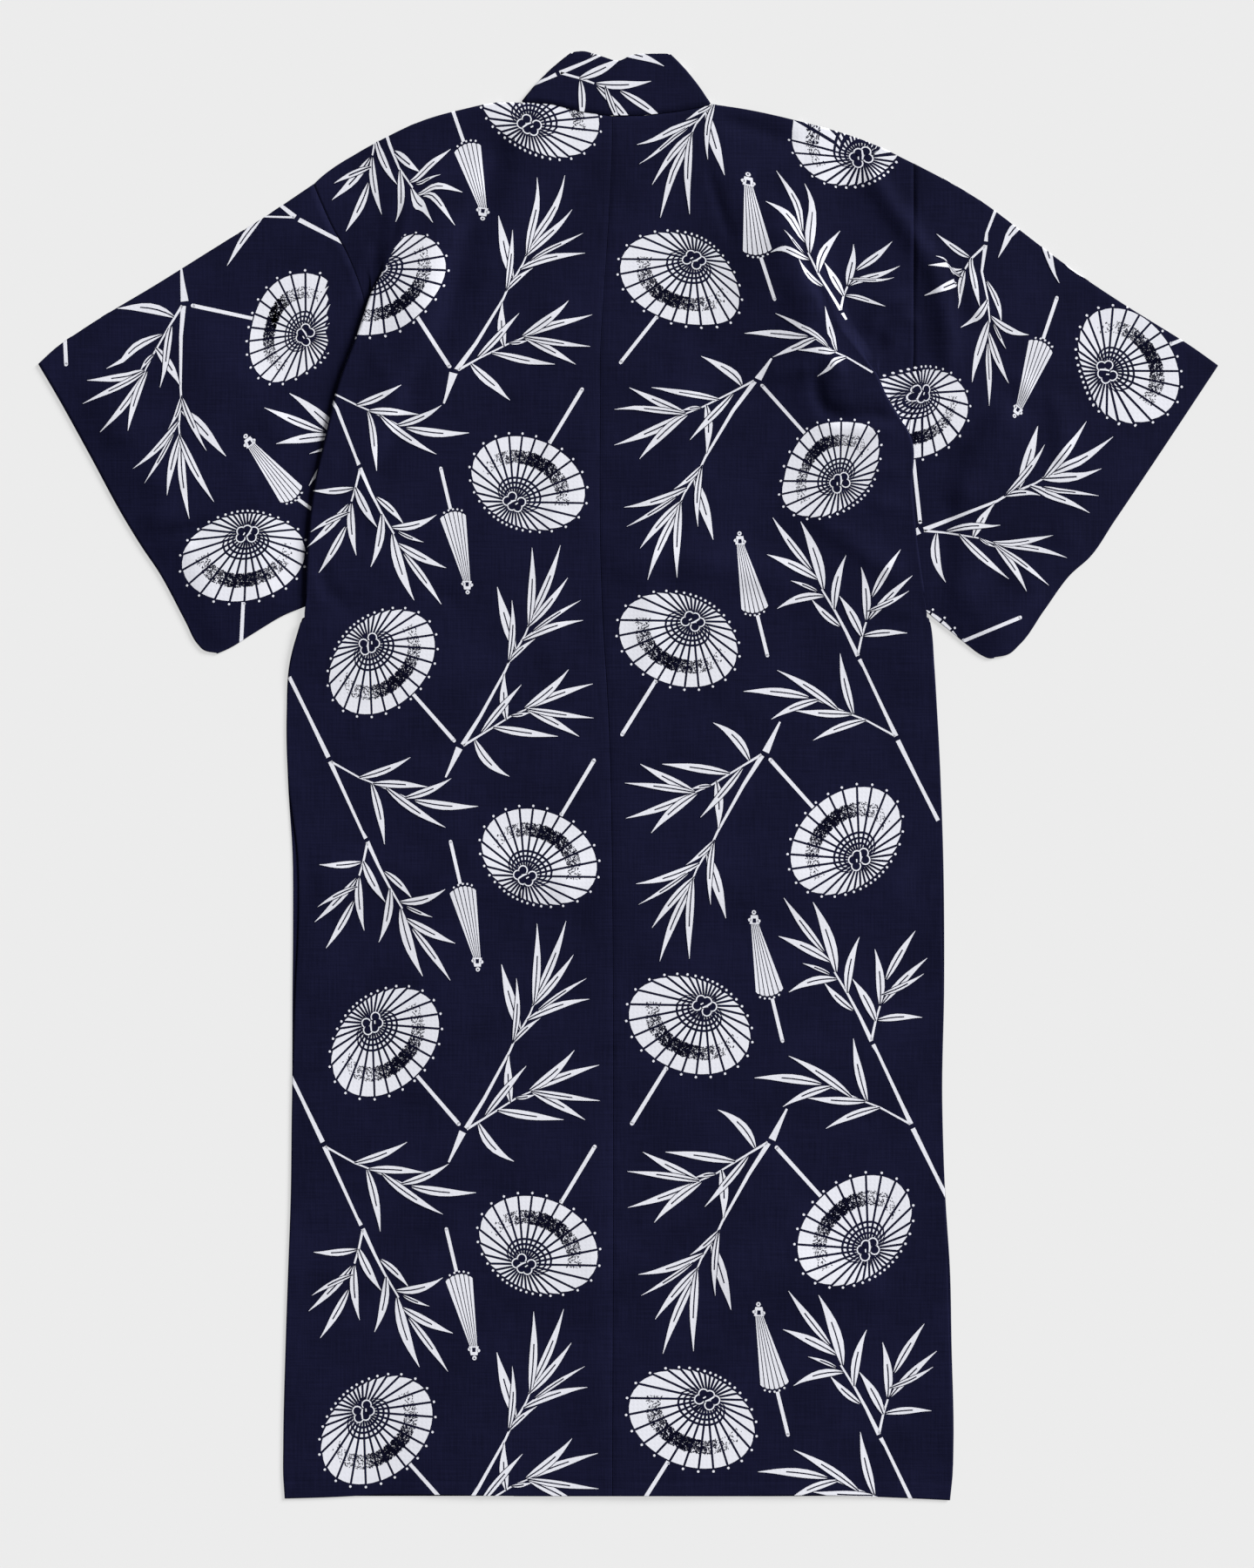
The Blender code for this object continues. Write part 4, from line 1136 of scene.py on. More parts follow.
def add_cane(stamp, cane, lift=0):
    """A straight piece of stem whose width changes evenly."""
    start, end = np.array([cane.x0, cane.y0]), np.array([cane.x1, cane.y1])
    along = (end - start) / np.linalg.norm(end - start)
    across = np.array([-along[1], along[0]])
    stamp.add([
        start + across * cane.w0 / 2,
        end + across * cane.w1 / 2,
        end - across * cane.w1 / 2,
        start - across * cane.w0 / 2,
    ], WHITE, lift)


def add_leaf(stamp, leaf, lift):
    """A long pointed leaf on a slightly wider navy one, with a navy vein on it."""
    start, end = np.array([leaf.base_x, leaf.base_y]), np.array([leaf.tip_x, leaf.tip_y])
    along = LEAF_ALONG[:, None]
    across = np.array([start[1] - end[1], end[0] - start[0]]) / np.linalg.norm(end - start)
    line = start + (end - start) * along + across * leaf.bend * 4 * along * (1 - along)
    half = leaf.width / 2 * LEAF_WIDTH
    strips = [
        (half[1:] + HALO, line[1:], NAVY, lift),
        (half, line, WHITE, lift + 1),
        (np.full(len(half), VEIN)[VEIN_ROWS], line[VEIN_ROWS], NAVY, lift + 2),
    ]
    for width, middle, colour, level in strips:
        left, right = middle + across * width[:, None], middle - across * width[:, None]
        for i in range(len(middle) - 1):
            stamp.add([left[i], left[i + 1], right[i + 1], right[i]], colour, level)


def bamboo(middle, canes, leaves):
    """Stems, and leaves that lie on them and on each other."""
    stamp = Stamp(middle)
    for cane in canes:
        add_cane(stamp, cane)
    for number, leaf in enumerate(leaves):
        add_leaf(stamp, leaf, 1 + 2 * (number % LEAF_LEVELS))
    return stamp.finish()


def open_umbrella(dome, seed):
    """A round paper umbrella seen from above at a slant, drawn rib by rib."""
    stamp = Stamp((0, 0))
    hub = np.array([dome.hub_x, dome.hub_y])
    tilt = math.radians(dome.tilt)
    axes = np.array([
        [math.cos(tilt), math.sin(tilt)],
        [-math.sin(tilt), math.cos(tilt)],
    ]) / np.array([[dome.long], [dome.short]])

    def reach(angle):
        """Distance from the hub to the rim."""
        way = axes @ np.array([math.cos(angle), math.sin(angle)])
        from_middle = axes @ hub
        a, b, c = way @ way, way @ from_middle, from_middle @ from_middle - 1
        return (-b + math.sqrt(b * b - a * c)) / a

    def at(angle, radius):
        return hub + radius * np.array([math.cos(angle), math.sin(angle)])

    step = 2 * math.pi / RIBS
    for i in range(RIBS):
        left = math.radians(dome.phase) + i * step
        right, half = left + step, left + step / 2
        rim = {angle: reach(angle) for angle in (left, half, right)}
        stops = [KNOT / rim[half]]
        for share in RINGS:
            if rim[half] > RING_REACH:
                stops += [share - RING / rim[half], share + RING / rim[half]]
        stops.append(1.0)
        for near, far in zip(stops[::2], stops[1::2]):
            corners = []
            for angle, side, share in (
                (left, 1, near), (left, 1, far), (half, 0, far), (right, -1, far), (right, -1, near),
            ):
                radius = share * rim[angle]
                corners.append(at(angle + side * RIB / radius, radius))
            stamp.add(corners)
        stamp.add(round_dot(*at(left, rim[left] + RIM_DOT_OUT), RIM_DOT))
    turn = tilt - math.radians(LOBE_TILT)

    def turned(x, y):
        """A place on the knot, which turns with the umbrella."""
        along = np.array([math.cos(turn), math.sin(turn)])
        across = np.array([-math.sin(turn), math.cos(turn)])
        return hub + x * along + y * across

    for x, y in LOBES:
        stamp.add(round_dot(*turned(x, y), LOBE_EDGE, 12), WHITE, ON_RIBS)
        stamp.add(round_dot(*turned(x, y), LOBE, 12), NAVY, HOLLOW)
    stamp.add(round_dot(*hub, LOBE, 12), WHITE, ON_RIBS)
    stamp.add(round_dot(*turned(*EYE[:2]), EYE[2], 10), NAVY, HOLLOW)
    for cord in CORDS:
        ends = *turned(cord.x0, cord.y0), *turned(cord.x1, cord.y1)
        add_cane(stamp, Cane(*ends, cord.w0, cord.w1), CORD)
    draw = random.Random(seed)
    for _ in range(SPECKS):
        share = draw.gauss(0, SPECK_SPREAD)
        angle = dome.dense + share * (dome.band_to - dome.band_from) / 2
        if not dome.band_from < angle < dome.band_to:
            continue
        angle = math.radians(angle)
        place = at(angle, reach(angle) * draw.uniform(BAND_NEAR, BAND_FAR))
        slant = draw.uniform(0, math.pi)
        size = 1 + SPECK_GROWTH * math.exp(-((share / SPECK_CORE) ** 2))
        long, short = draw.uniform(*SPECK_LONG) * size, draw.uniform(*SPECK_SHORT) * size
        long_way = np.array([math.cos(slant), math.sin(slant)]) * long
        cross_way = np.array([-math.sin(slant), math.cos(slant)]) * short
        corners = [place + long_way, place + cross_way, place - long_way, place - cross_way]
        stamp.add(corners, NAVY, SPECKLE)
    end = np.array([dome.end_x, dome.end_y])
    way = math.atan2(*(end - hub)[::-1])
    start = at(way, reach(way) + HANDLE_OUT)
    add_cane(stamp, Cane(*start, *end, HANDLE * HANDLE_TAPER, HANDLE))
    stamp.add(round_dot(*end, HANDLE / 2, 10))
    return stamp


def canopy_point(end, share):
    """A place on the upper or lower end of the closed canopy."""
    hang = end.drop * 4 * share * (1 - share)
    return mix(np.array(end.left), np.array(end.right), share) + [0, hang]


def folded_umbrella():
    """A closed umbrella: finial, knot, narrow canopy in gores, and handle."""
    stamp = Stamp(FOLDED)
    for i in range(GORES):
        a, b = i / GORES, (i + 1) / GORES
        top = [canopy_point(CANOPY_TOP, s) for s in (a + CANOPY_TOP.gap, b - CANOPY_TOP.gap)]
        foot = [canopy_point(CANOPY_FOOT, s) for s in (a + CANOPY_FOOT.gap, b - CANOPY_FOOT.gap)]
        middle = (foot[0] + foot[1]) / 2 + [0, GORE_POINT]
        stamp.add([top[0], foot[0], middle, foot[1], top[1]])
        if i:
            stamp.add(round_dot(*(canopy_point(CANOPY_FOOT, a) + [0, BEAD_DROP]), BEAD))
    stamp.add(TIE, WHITE, ON_RIBS)
    for tie_end in TIE_ENDS:
        stamp.add(round_dot(*tie_end), WHITE, ON_RIBS)
    stamp.add(TIE_GAP, NAVY, HOLLOW)
    stamp.add(round_dot(*FINIAL, 10), WHITE, ON_RIBS)
    stamp.add(round_dot(*FINIAL_HOLE), NAVY, HOLLOW)
    add_cane(stamp, SHAFT)
    stamp.add(round_dot(SHAFT.x1, SHAFT.y1, SHAFT.w1 / 2))
    return stamp.finish()


STAMPS = {
    "dome_a": (DOME_A, open_umbrella(DOMES["dome_a"], 11)),
    "dome_b": (DOME_B, open_umbrella(DOMES["dome_b"], 12)),
    "folded": (FOLDED, folded_umbrella()),
    "low": (LOW_BAMBOO, bamboo(LOW_BAMBOO, LOW_CANES, LOW_LEAVES)),
    "high": (HIGH_BAMBOO, bamboo(HIGH_BAMBOO, HIGH_CANES, HIGH_LEAVES)),
}
MOTIFS = tuple(STAMPS)
# The high bamboo where a crumple has swallowed the foot of its stem
STAMPS["high_swallowed"] = (HIGH_BAMBOO, bamboo(HIGH_BAMBOO, HIGH_CANES[4:], HIGH_LEAVES))


class Facets:
    """The outer triangles of a skin that face up or down, ready to cut flat print to."""

    CELL = 12.0  # size of the squares that sort the triangles by place
    STEEP = 0.08  # triangles whose normals rise less than this aren't printed

    def __init__(self, skin, up):
        self.points = skin.outer
        self.normals = skin.normals
        corners = np.concatenate([skin.cells[:, [0, 1, 2]], skin.cells[:, [0, 2, 3]]])
        a, b, c = (skin.outer[corners[:, k]] for k in range(3))
        facing = np.cross(b - a, c - a)
        level = facing[:, 2] / np.maximum(np.linalg.norm(facing, axis=1), 1e-9)
        self.turn = 1 if up else -1
        self.corners = corners[level * self.turn > self.STEEP]
        self.flat = skin.outer[self.corners][:, :, :2]
        self.bins = {}
        low = np.floor(self.flat.min(axis=1) / self.CELL).astype(int)
        high = np.floor(self.flat.max(axis=1) / self.CELL).astype(int)
        for number, (lo, hi) in enumerate(zip(low.tolist(), high.tolist())):
            for i in range(lo[0], hi[0] + 1):
                for j in range(lo[1], hi[1] + 1):
                    self.bins.setdefault((i, j), []).append(number)
        self.flat_list = self.flat.tolist()

    def zones(self, name):
        """Which triangles lie in each zone of a piece."""
        x, y = self.flat.mean(axis=1).T
        everywhere = np.ones(len(x), bool)
        beyond = PLEATS[name](x, y) & (y > ARMPIT) if name in PLEATS else ~everywhere
        return {ALL: everywhere, BEFORE: ~beyond, BEYOND: beyond}

    def near(self, part):
        """Numbers of the triangles whose boxes meet a part's box."""
        xs, ys = [p[0] for p in part], [p[1] for p in part]
        box = min(xs), min(ys), max(xs), max(ys)
        found = set()
        for i in range(math.floor(box[0] / self.CELL), math.floor(box[2] / self.CELL) + 1):
            for j in range(math.floor(box[1] / self.CELL), math.floor(box[3] / self.CELL) + 1):
                found.update(self.bins.get((i, j), ()))
        hits = []
        for number in found:
            (ax, ay), (bx, by), (cx, cy) = self.flat_list[number]
            if min(ax, bx, cx) > box[2] or max(ax, bx, cx) < box[0]:
                continue
            if min(ay, by, cy) > box[3] or max(ay, by, cy) < box[1]:
                continue
            hits.append(number)
        return sorted(hits)

    def lift(self, number, part, height):
        """A flat part's points and normals on one triangle, raised off the cloth."""
        a, b, c = self.flat[number]
        p = np.asarray(part)
        area = (b[0] - a[0]) * (c[1] - a[1]) - (b[1] - a[1]) * (c[0] - a[0])
        v = ((p[:, 0] - a[0]) * (c[1] - a[1]) - (p[:, 1] - a[1]) * (c[0] - a[0])) / area
        w = ((b[0] - a[0]) * (p[:, 1] - a[1]) - (b[1] - a[1]) * (p[:, 0] - a[0])) / area
        share = np.stack([1 - v - w, v, w], axis=1)
        corners = self.corners[number]
        normals = share @ self.normals[corners]
        normals /= np.linalg.norm(normals, axis=1, keepdims=True)
        return share @ self.points[corners] + normals * height, normals


def clip(part, triangle):
    """The piece of a convex part inside a triangle, both as (x, y) corners."""
    (ax, ay), (bx, by), (cx, cy) = triangle
    if (bx - ax) * (cy - ay) - (by - ay) * (cx - ax) < 0:
        (bx, by), (cx, cy) = (cx, cy), (bx, by)
    for x0, y0, x1, y1 in ((ax, ay, bx, by), (bx, by, cx, cy), (cx, cy, ax, ay)):
        ex, ey = x1 - x0, y1 - y0
        offset = [ex * (y - y0) - ey * (x - x0) for x, y in part]
        if min(offset) >= 0:
            continue
        if max(offset) <= 0:
            return []
        kept = []
        for i, (x, y) in enumerate(part):
            here, before = offset[i], offset[i - 1]
            if (here >= 0) != (before >= 0):
                share = before / (before - here)
                px, py = part[i - 1]
                kept.append((px + (x - px) * share, py + (y - py) * share))
            if here >= 0:
                kept.append((x, y))
        part = kept
    return part


LEAST_AREA = 0.02  # pieces of print smaller than this, in square millimetres, are left off


def part_area(part):
    """Area inside a flat part's corners."""
    total = 0.0
    for (x0, y0), (x1, y1) in zip(part, part[1:] + part[:1]):
        total += x0 * y1 - x1 * y0
    return abs(total) / 2


class Sheet:
    """What is gathered for one mesh of print."""

    def __init__(self):
        self.points, self.normals, self.faces = [], [], []
        self.count = 0

    def add(self, points, normals, turn):
        self.points.append(points)
        self.normals.append(normals)
        face = list(range(self.count, self.count + len(points)))
        self.count += len(points)
        (x0, y0), (x1, y1), (x2, y2) = points[0][:2], points[1][:2], points[2][:2]
        face_turn = (x1 - x0) * (y2 - y1) - (y1 - y0) * (x2 - x1)
        self.faces.append(face if face_turn * turn > 0 else face[::-1])

    def build(self, name, material, slot):
        obj = new_object(name, np.concatenate(self.points), self.faces, material)
        obj.data.normals_split_custom_set_from_vertices(np.concatenate(self.normals).tolist())
        return obj


# A motif is printed on all of a piece, or only before or beyond the pleat at its armhole.
ALL, BEFORE, BEYOND = "all", "before", "beyond"
PLEAT_OPEN = 1330.0  # above this height no motif is hidden by the pleat
SLEEVE_PLEAT = -291.0  # x of the pleat in the left sleeve
PLEATS = {
    "body_left": lambda x, y: -x > arm["left"]["fold"](y),
    "body_right": lambda x, y: x > arm["right"]["fold"](y),
    "sleeve_left": lambda x, y: x > SLEEVE_PLEAT,
}

Place = namedtuple("Place", "motif x y turn flip wide high zone")

# How far bunched cloth moves the print from where even cloth would carry it. The moves were set
# with the photo and a render laid over each other, and some were filled in between others.
Pull = namedtuple("Pull", "x y dx dy")
PULL_REACH = 32.0
PULLS = {
    "body_left": [
        Pull(-120, 1400, -4, 8),
        Pull(-84, 1393, 0, 9),
        Pull(-45, 1385, 4, 5),
        Pull(-164, 1382, -4, -9),
        Pull(-157, 1412, -8, 0),
        Pull(-154, 1328, 3, 5),
        Pull(-140, 1362, 8, 0),
        Pull(-159, 1297, -10, 10),
        Pull(-186, 1298, -5, 1),
        Pull(-225, 1372, -2, -28),
        Pull(-228, 1330, 7, -24),
        Pull(-244, 1344, 11, -38),
        Pull(-281, 1325, 11, -35),
        Pull(-292, 1350, 2, -16),
        Pull(-255, 1385, 4, -20),
        Pull(-85, 1347, 9, -1),
        Pull(-52, 1335, 9, -2),
        Pull(-34, 1284, 6, -4),
        Pull(-119, 1308, 6, -2),
        Pull(-87, 1272, 0, 0),
        Pull(-36, 1216, 4, -3),
        Pull(-96, 1207, 0, 0),
        Pull(-176, 1248, 13, 8),
        Pull(-198, 1285, 18, 9),
        Pull(-188, 1214, 3, 5),
        Pull(-248, 1178, -5, 7),
        Pull(-165, 1158, -10, 0),
        Pull(-225, 1235, 4, 4),
        Pull(-130, 1130, 6, 8),
        Pull(-275, 1095, 8, 0),
    ],
    "body_right": [
        Pull(253, 1402, 0, -34),
        Pull(182, 1395, -1, -24),
        Pull(215, 1372, -2, -30),
        Pull(280, 1385, 8, -40),
        Pull(160, 1363, 15, -11),
        Pull(190, 1357, 12, -20),
        Pull(157, 1327, 4, -8),
        Pull(166, 1278, 2, -4),
        Pull(211, 1293, -12, -16),
        Pull(225, 1272, -17, -27),
        Pull(229, 1287, -12, -33),
        Pull(235, 1325, 0, -36),
        Pull(251, 1315, -1, -38),
        Pull(291, 1332, -4, -54),
        Pull(303, 1306, -9, -54),
        Pull(300, 1290, -12, -50),
        Pull(278, 1275, -16, -38),
        Pull(298, 1250, -24, -36),
        Pull(256, 1262, -17, -25),
        Pull(252, 1247, -17, -20),
        Pull(248, 1229, -17, -14),
        Pull(131, 1194, 5, -7),
        Pull(167, 1213, 5, -8),
        Pull(230, 1229, -6, -13),
        Pull(254, 1166, -17, -3),
        Pull(286, 1150, -22, -3),
        Pull(203, 1147, 9, -3),
        Pull(158, 1164, 4, -6),
        Pull(143, 1133, 6, 9),
        Pull(192, 1083, 6, 4),
        Pull(164, 1050, 8, -2),
        Pull(282, 1060, -8, -1),
        Pull(237, 1104, -2, -7),
        Pull(237, 1034, -5, 2),
        Pull(30, 1110, 3, 7),
        Pull(80, 1095, 3, 8),
        Pull(25, 1160, -4, 9),
        Pull(72, 1400, 0, 8),
        Pull(112, 1372, -6, 5),
        Pull(75, 1345, -2, 7),
        Pull(135, 1346, -4, 4),
        Pull(148, 1290, -12, -4),
        Pull(162, 1232, -5, -6),
        Pull(90, 1240, 0, 1),
    ],
    "sleeve_left": [
        Pull(-300, 1188, -12, 0),
        Pull(-318, 1140, -4, 6),
        Pull(-312, 1252, -2, -5),
        Pull(-370, 1190, 2, -2),
        Pull(-430, 1222, 5, -8),
        Pull(-445, 1240, -3, -4),
        Pull(-487, 1224, -8, -12),
        Pull(-524, 1164, 8, -11),
        Pull(-544, 1150, 7, -13),
        Pull(-548, 1128, 7, -13),
        Pull(-530, 1100, 8, -13),
        Pull(-501, 1102, 6, -13),
        Pull(-465, 1138, 4, -10),
        Pull(-565, 1167, 8, -14),
        Pull(-443, 1130, 0, 0),
        Pull(-394, 1068, -1, -6),
        Pull(-330, 1040, -8, -8),
        Pull(-393, 1264, 0, -7),
        Pull(-320, 1310, -3, -4),
    ],
    "sleeve_right": [
        Pull(392, 1275, -10, 8),
        Pull(336, 1281, -8, 7),
        Pull(302, 1242, 22, 22),
        Pull(302, 1214, 24, 14),
        Pull(345, 1185, 12, 10),
        Pull(385, 1110, 0, 0),
        Pull(405, 1260, -10, 5),
        Pull(466, 1236, -9, 3),
        Pull(440, 1165, -9, -1),
        Pull(418, 1112, -6, -3),
        Pull(360, 1115, 7, 12),
        Pull(330, 1145, 4, 9),
        Pull(306, 1126, 24, 0),
        Pull(316, 1070, 2, 2),
        Pull(490, 1105, -7, -8),
        Pull(512, 1080, -3, -9),
        Pull(500, 1035, -5, -13),
        Pull(460, 1020, -5, -10),
        Pull(404, 1000, -7, -9),
    ],
}


def pulled(name, points):
    """Print points moved by the pulls of their piece. Far from all of them they stay put."""
    if name not in PULLS:
        return points
    pulls = np.array(PULLS[name], float)
    away = np.linalg.norm(points[:, None, :] - pulls[None, :, :2], axis=2)
    weight = np.exp(-((away / PULL_REACH) ** 2))
    return points + weight @ pulls[:, 2:] / np.maximum(weight.sum(axis=1, keepdims=True), 1)


def stamp_on(name, facets, place, sheets):
    """Prints one motif on a skin."""
    _, stamp = STAMPS[place.motif]
    turn = math.radians(place.turn)
    matrix = CHART * np.array([
        [math.cos(turn) * place.wide, -math.sin(turn) * place.high],
        [-math.sin(turn) * place.flip * place.wide, -math.cos(turn) * place.flip * place.high],
    ])
    shown = facets.zones(name)[place.zone]
    pulled_as = "sleeve_right" if place.zone == BEYOND else name
    for points, colour, lift in stamp.parts:
        placed = points @ matrix.T + [place.x, place.y]
        if facets.turn > 0:
            placed = pulled(pulled_as, placed)
        part = [tuple(p) for p in placed.tolist()]
        height = INK + lift * INK_STEP
        for number in facets.near(part):
            if not shown[number]:
                continue
            piece = clip(part, facets.flat_list[number])
            if len(piece) < 3 or part_area(piece) < LEAST_AREA:
                continue
            raised, normals = facets.lift(number, piece, height)
            sheets[colour].add(raised, normals, facets.turn)


PrintRow = namedtuple("PrintRow", "height spread")
BACK_PRINT = {  # heights of the first umbrella of each repeat, and how wide its print lies
    "right": [
        PrintRow(-322, 1.02),
        PrintRow(79, 1.02),
        PrintRow(481, 0.985),
        PrintRow(874, 0.96),
        PrintRow(1243, 0.965),
        PrintRow(1613, 0.98),
    ],
    "left": [
        PrintRow(-139, 1.0),
        PrintRow(257, 0.96),
        PrintRow(653, 0.935),
        PrintRow(1034, 0.92),
        PrintRow(1411, 0.9),
        PrintRow(1776, 0.88),
    ],
}
BACK_TURN = {"right": 0, "left": 180}
SEAM_MARGIN = 4  # the chart's x at the centre seam
HALF_WAY = REPEAT / 4  # how far either way a motif's own height is taken from
CRUMPLE = 150.0  # the right armhole's crumple swallows a stem that is higher above the armpit


def back_places(side):
    """Where the repeat's motifs lie on a back panel. The left one's cloth runs the other way."""
    rows = BACK_PRINT[side.name]
    cloth = np.arange(len(rows)) * REPEAT
    direction = 1 if side is RIGHT else -1
    places = []
    for number in range(-1, len(rows)):
        for motif in MOTIFS:
            middle = STAMPS[motif][0]
            along = number * REPEAT + direction * (DOME_A[1] - middle[1]) * CHART
            if not -REPEAT / 2 < along < cloth[-1] + REPEAT / 2:
                continue
            near = along + np.array([-HALF_WAY, 0, HALF_WAY])
            below, height, above = np.interp(near, cloth, [r.height for r in rows]).tolist()
            spread = float(np.interp(along, cloth, [r.spread for r in rows]))
            out = (middle[0] - SEAM_MARGIN) * CHART * spread
            x = float(centre_x(height)) + side.sign * out
            high = (above - below) / (2 * HALF_WAY)
            zone = BEFORE if motif in DOMES and height < PLEAT_OPEN else ALL
            crumpled = side is RIGHT and ARMPIT + CRUMPLE < height < PLEAT_OPEN
            if crumpled and motif == "high":
                motif = "high_swallowed"
            places.append(Place(motif, x, height, BACK_TURN[side.name], 1, spread, high, zone))
    return places


Layout = namedtuple("Layout", "x y turn spread reach flip repeats")


def laid(layout):
    """Where the repeat's motifs lie when its first umbrella is at a place, turned clockwise."""
    turn = math.radians(layout.turn)
    places = []
    for number in layout.repeats:
        for motif in MOTIFS:
            middle = STAMPS[motif][0]
            dx = (middle[0] - DOME_A[0]) * CHART * layout.spread
            dy = ((middle[1] - DOME_A[1]) * CHART - number * REPEAT) * layout.reach
            x = layout.x + dx * math.cos(turn) - dy * math.sin(turn)
            y = layout.y - layout.flip * (dx * math.sin(turn) + dy * math.cos(turn))
            zone = BEFORE if motif in DOMES and y > YOKE - CRUMPLE else ALL
            places.append(
                Place(motif, x, y, layout.turn, layout.flip, layout.spread, layout.reach, zone)
            )
    return places


FRONT_LAYOUTS = {
    "left": Layout(-85, 1190, 180, 0.95, 1, -1, range(-4, 2)),
    "right": Layout(80, 1172, 0, 1, 1, -1, range(-2, 4)),
}
SLEEVE_LAYOUTS = {
    "left": Layout(-376.5, 958.5, -30, 0.98, 0.93, 1, range(-1, 3)),
    "right": Layout(528.7, 1156.1, 215, 0.95, 0.93, 1, range(-2, 2)),
}
SLEEVE_UNDER_LAYOUTS = {
    "left": Layout(-470, 1080, 150, 1, 1, -1, range(-2, 3)),
    "right": Layout(430, 1020, 35, 1, 1, -1, range(-2, 3)),
}
OVERLAP_LAYOUTS = {
    "left": Layout(-20, 300, 180, 1, 1, -1, range(-4, 2)),
    "right": Layout(-60, 200, 0, 1, 1, -1, range(-2, 4)),
}
COLLAR_BACK = Place("high", -72.0, 1474.1, 93, 1, 1, 1, ALL)
COLLAR_LAYOUTS = [
    Layout(-40, 1100, 168, 1, 1, -1, range(-2, 2)),
    Layout(60, 1050, 12, 1, 1, -1, range(-2, 2)),
]


def lay_print(name, skin, up_places, down_places, printed):
    """Prints both faces of a cloth piece. Returns the new objects."""
    sheets = {WHITE: Sheet(), NAVY: Sheet()}
    for up, places in ((True, up_places), (False, down_places)):
        if places:
            facets = Facets(skin, up)
            for place in places:
                stamp_on(name, facets, place, sheets)
    made = []
    for colour, label in ((WHITE, "print_"), (NAVY, "print_detail_")):
        if sheets[colour].faces:
            made.append(sheets[colour].build(label + name, *printed[colour]))
    return made


def principled(name, colour, roughness, specular):
    """A new material and its shader."""
    material = bpy.data.materials.new(name)
    material.use_nodes = True
    shader = material.node_tree.nodes["Principled BSDF"]
    shader.inputs["Base Color"].default_value = (*colour, 1)
    shader.inputs["Roughness"].default_value = roughness
    shader.inputs["Specular IOR Level"].default_value = specular
    return material, shader


def node(tree, kind, **settings):
    """A new node. A setting is one of its own, or an input with its spaces as underscores."""
    made = tree.nodes.new(kind)
    for key, value in settings.items():
        if hasattr(made, key):
            setattr(made, key, value)
        else:
            made.inputs[key.replace("_", " ")].default_value = value
    return made


WEAVE_SCALE = 1 / (14 * MM)  # makes one wave of the wave texture 4.4 mm long
WEAVE_DEPTH = 0.15 * MM
CRUMPLE_SCALE = 38.0
CRUMPLE_DEPTH = 1.2 * MM
SLUB_ALONG, SLUB_ACROSS = 30, 700  # scale of the yarn's streaks along and across it
DYE_SCALE = 14.0
DYE_FROM, DYE_TO = 1.15, 1.85  # sums of the three noises at which the dye is deepest and palest


def weave(tree, shader, strength, crumple):
    """Bump of a plain weave with uneven threads, over a soft crumple."""
    link = tree.links.new
    place = node(tree, "ShaderNodeTexCoord").outputs["Object"]
    joined = node(tree, "ShaderNodeMath", operation="MAXIMUM")
    for number, axis in enumerate("XY"):
        wave = node(
            tree, "ShaderNodeTexWave", bands_direction=axis, wave_profile="SIN",
            Scale=WEAVE_SCALE, Distortion=1.2, Detail=1.0, Detail_Scale=0.6,
        )
        link(place, wave.inputs["Vector"])
        link(wave.outputs["Fac"], joined.inputs[number])
    bump = node(tree, "ShaderNodeBump", Strength=strength, Distance=WEAVE_DEPTH)
    link(joined.outputs[0], bump.inputs["Height"])
    soft = node(tree, "ShaderNodeTexNoise", Scale=CRUMPLE_SCALE, Detail=3.0)
    link(place, soft.inputs["Vector"])
    under = node(tree, "ShaderNodeBump", Strength=crumple, Distance=CRUMPLE_DEPTH)
    link(soft.outputs["Fac"], under.inputs["Height"])
    link(under.outputs["Normal"], bump.inputs["Normal"])
    link(bump.outputs["Normal"], shader.inputs["Normal"])
    return place


def slubs(tree, place, axis):
    """Streaks along one axis, where the yarn is thicker."""
    link = tree.links.new
    scale = (SLUB_ALONG, SLUB_ACROSS, 1) if axis == "X" else (SLUB_ACROSS, SLUB_ALONG, 1)
    mapping = node(tree, "ShaderNodeMapping", Scale=scale)
    link(place, mapping.inputs["Vector"])
    noise = node(tree, "ShaderNodeTexNoise", Scale=1.0, Detail=2.0)
    link(mapping.outputs["Vector"], noise.inputs["Vector"])
    return noise.outputs["Fac"]


NAVY_DEEP = (0.0042, 0.0047, 0.0185)
NAVY_PALE = (0.0080, 0.0086, 0.0315)
NAVY_ROUGH, NAVY_GLOSS = 0.85, 0.06
WHITE_INK = (0.775, 0.782, 0.850)
WHITE_ROUGH, WHITE_GLOSS = 0.8, 0.2


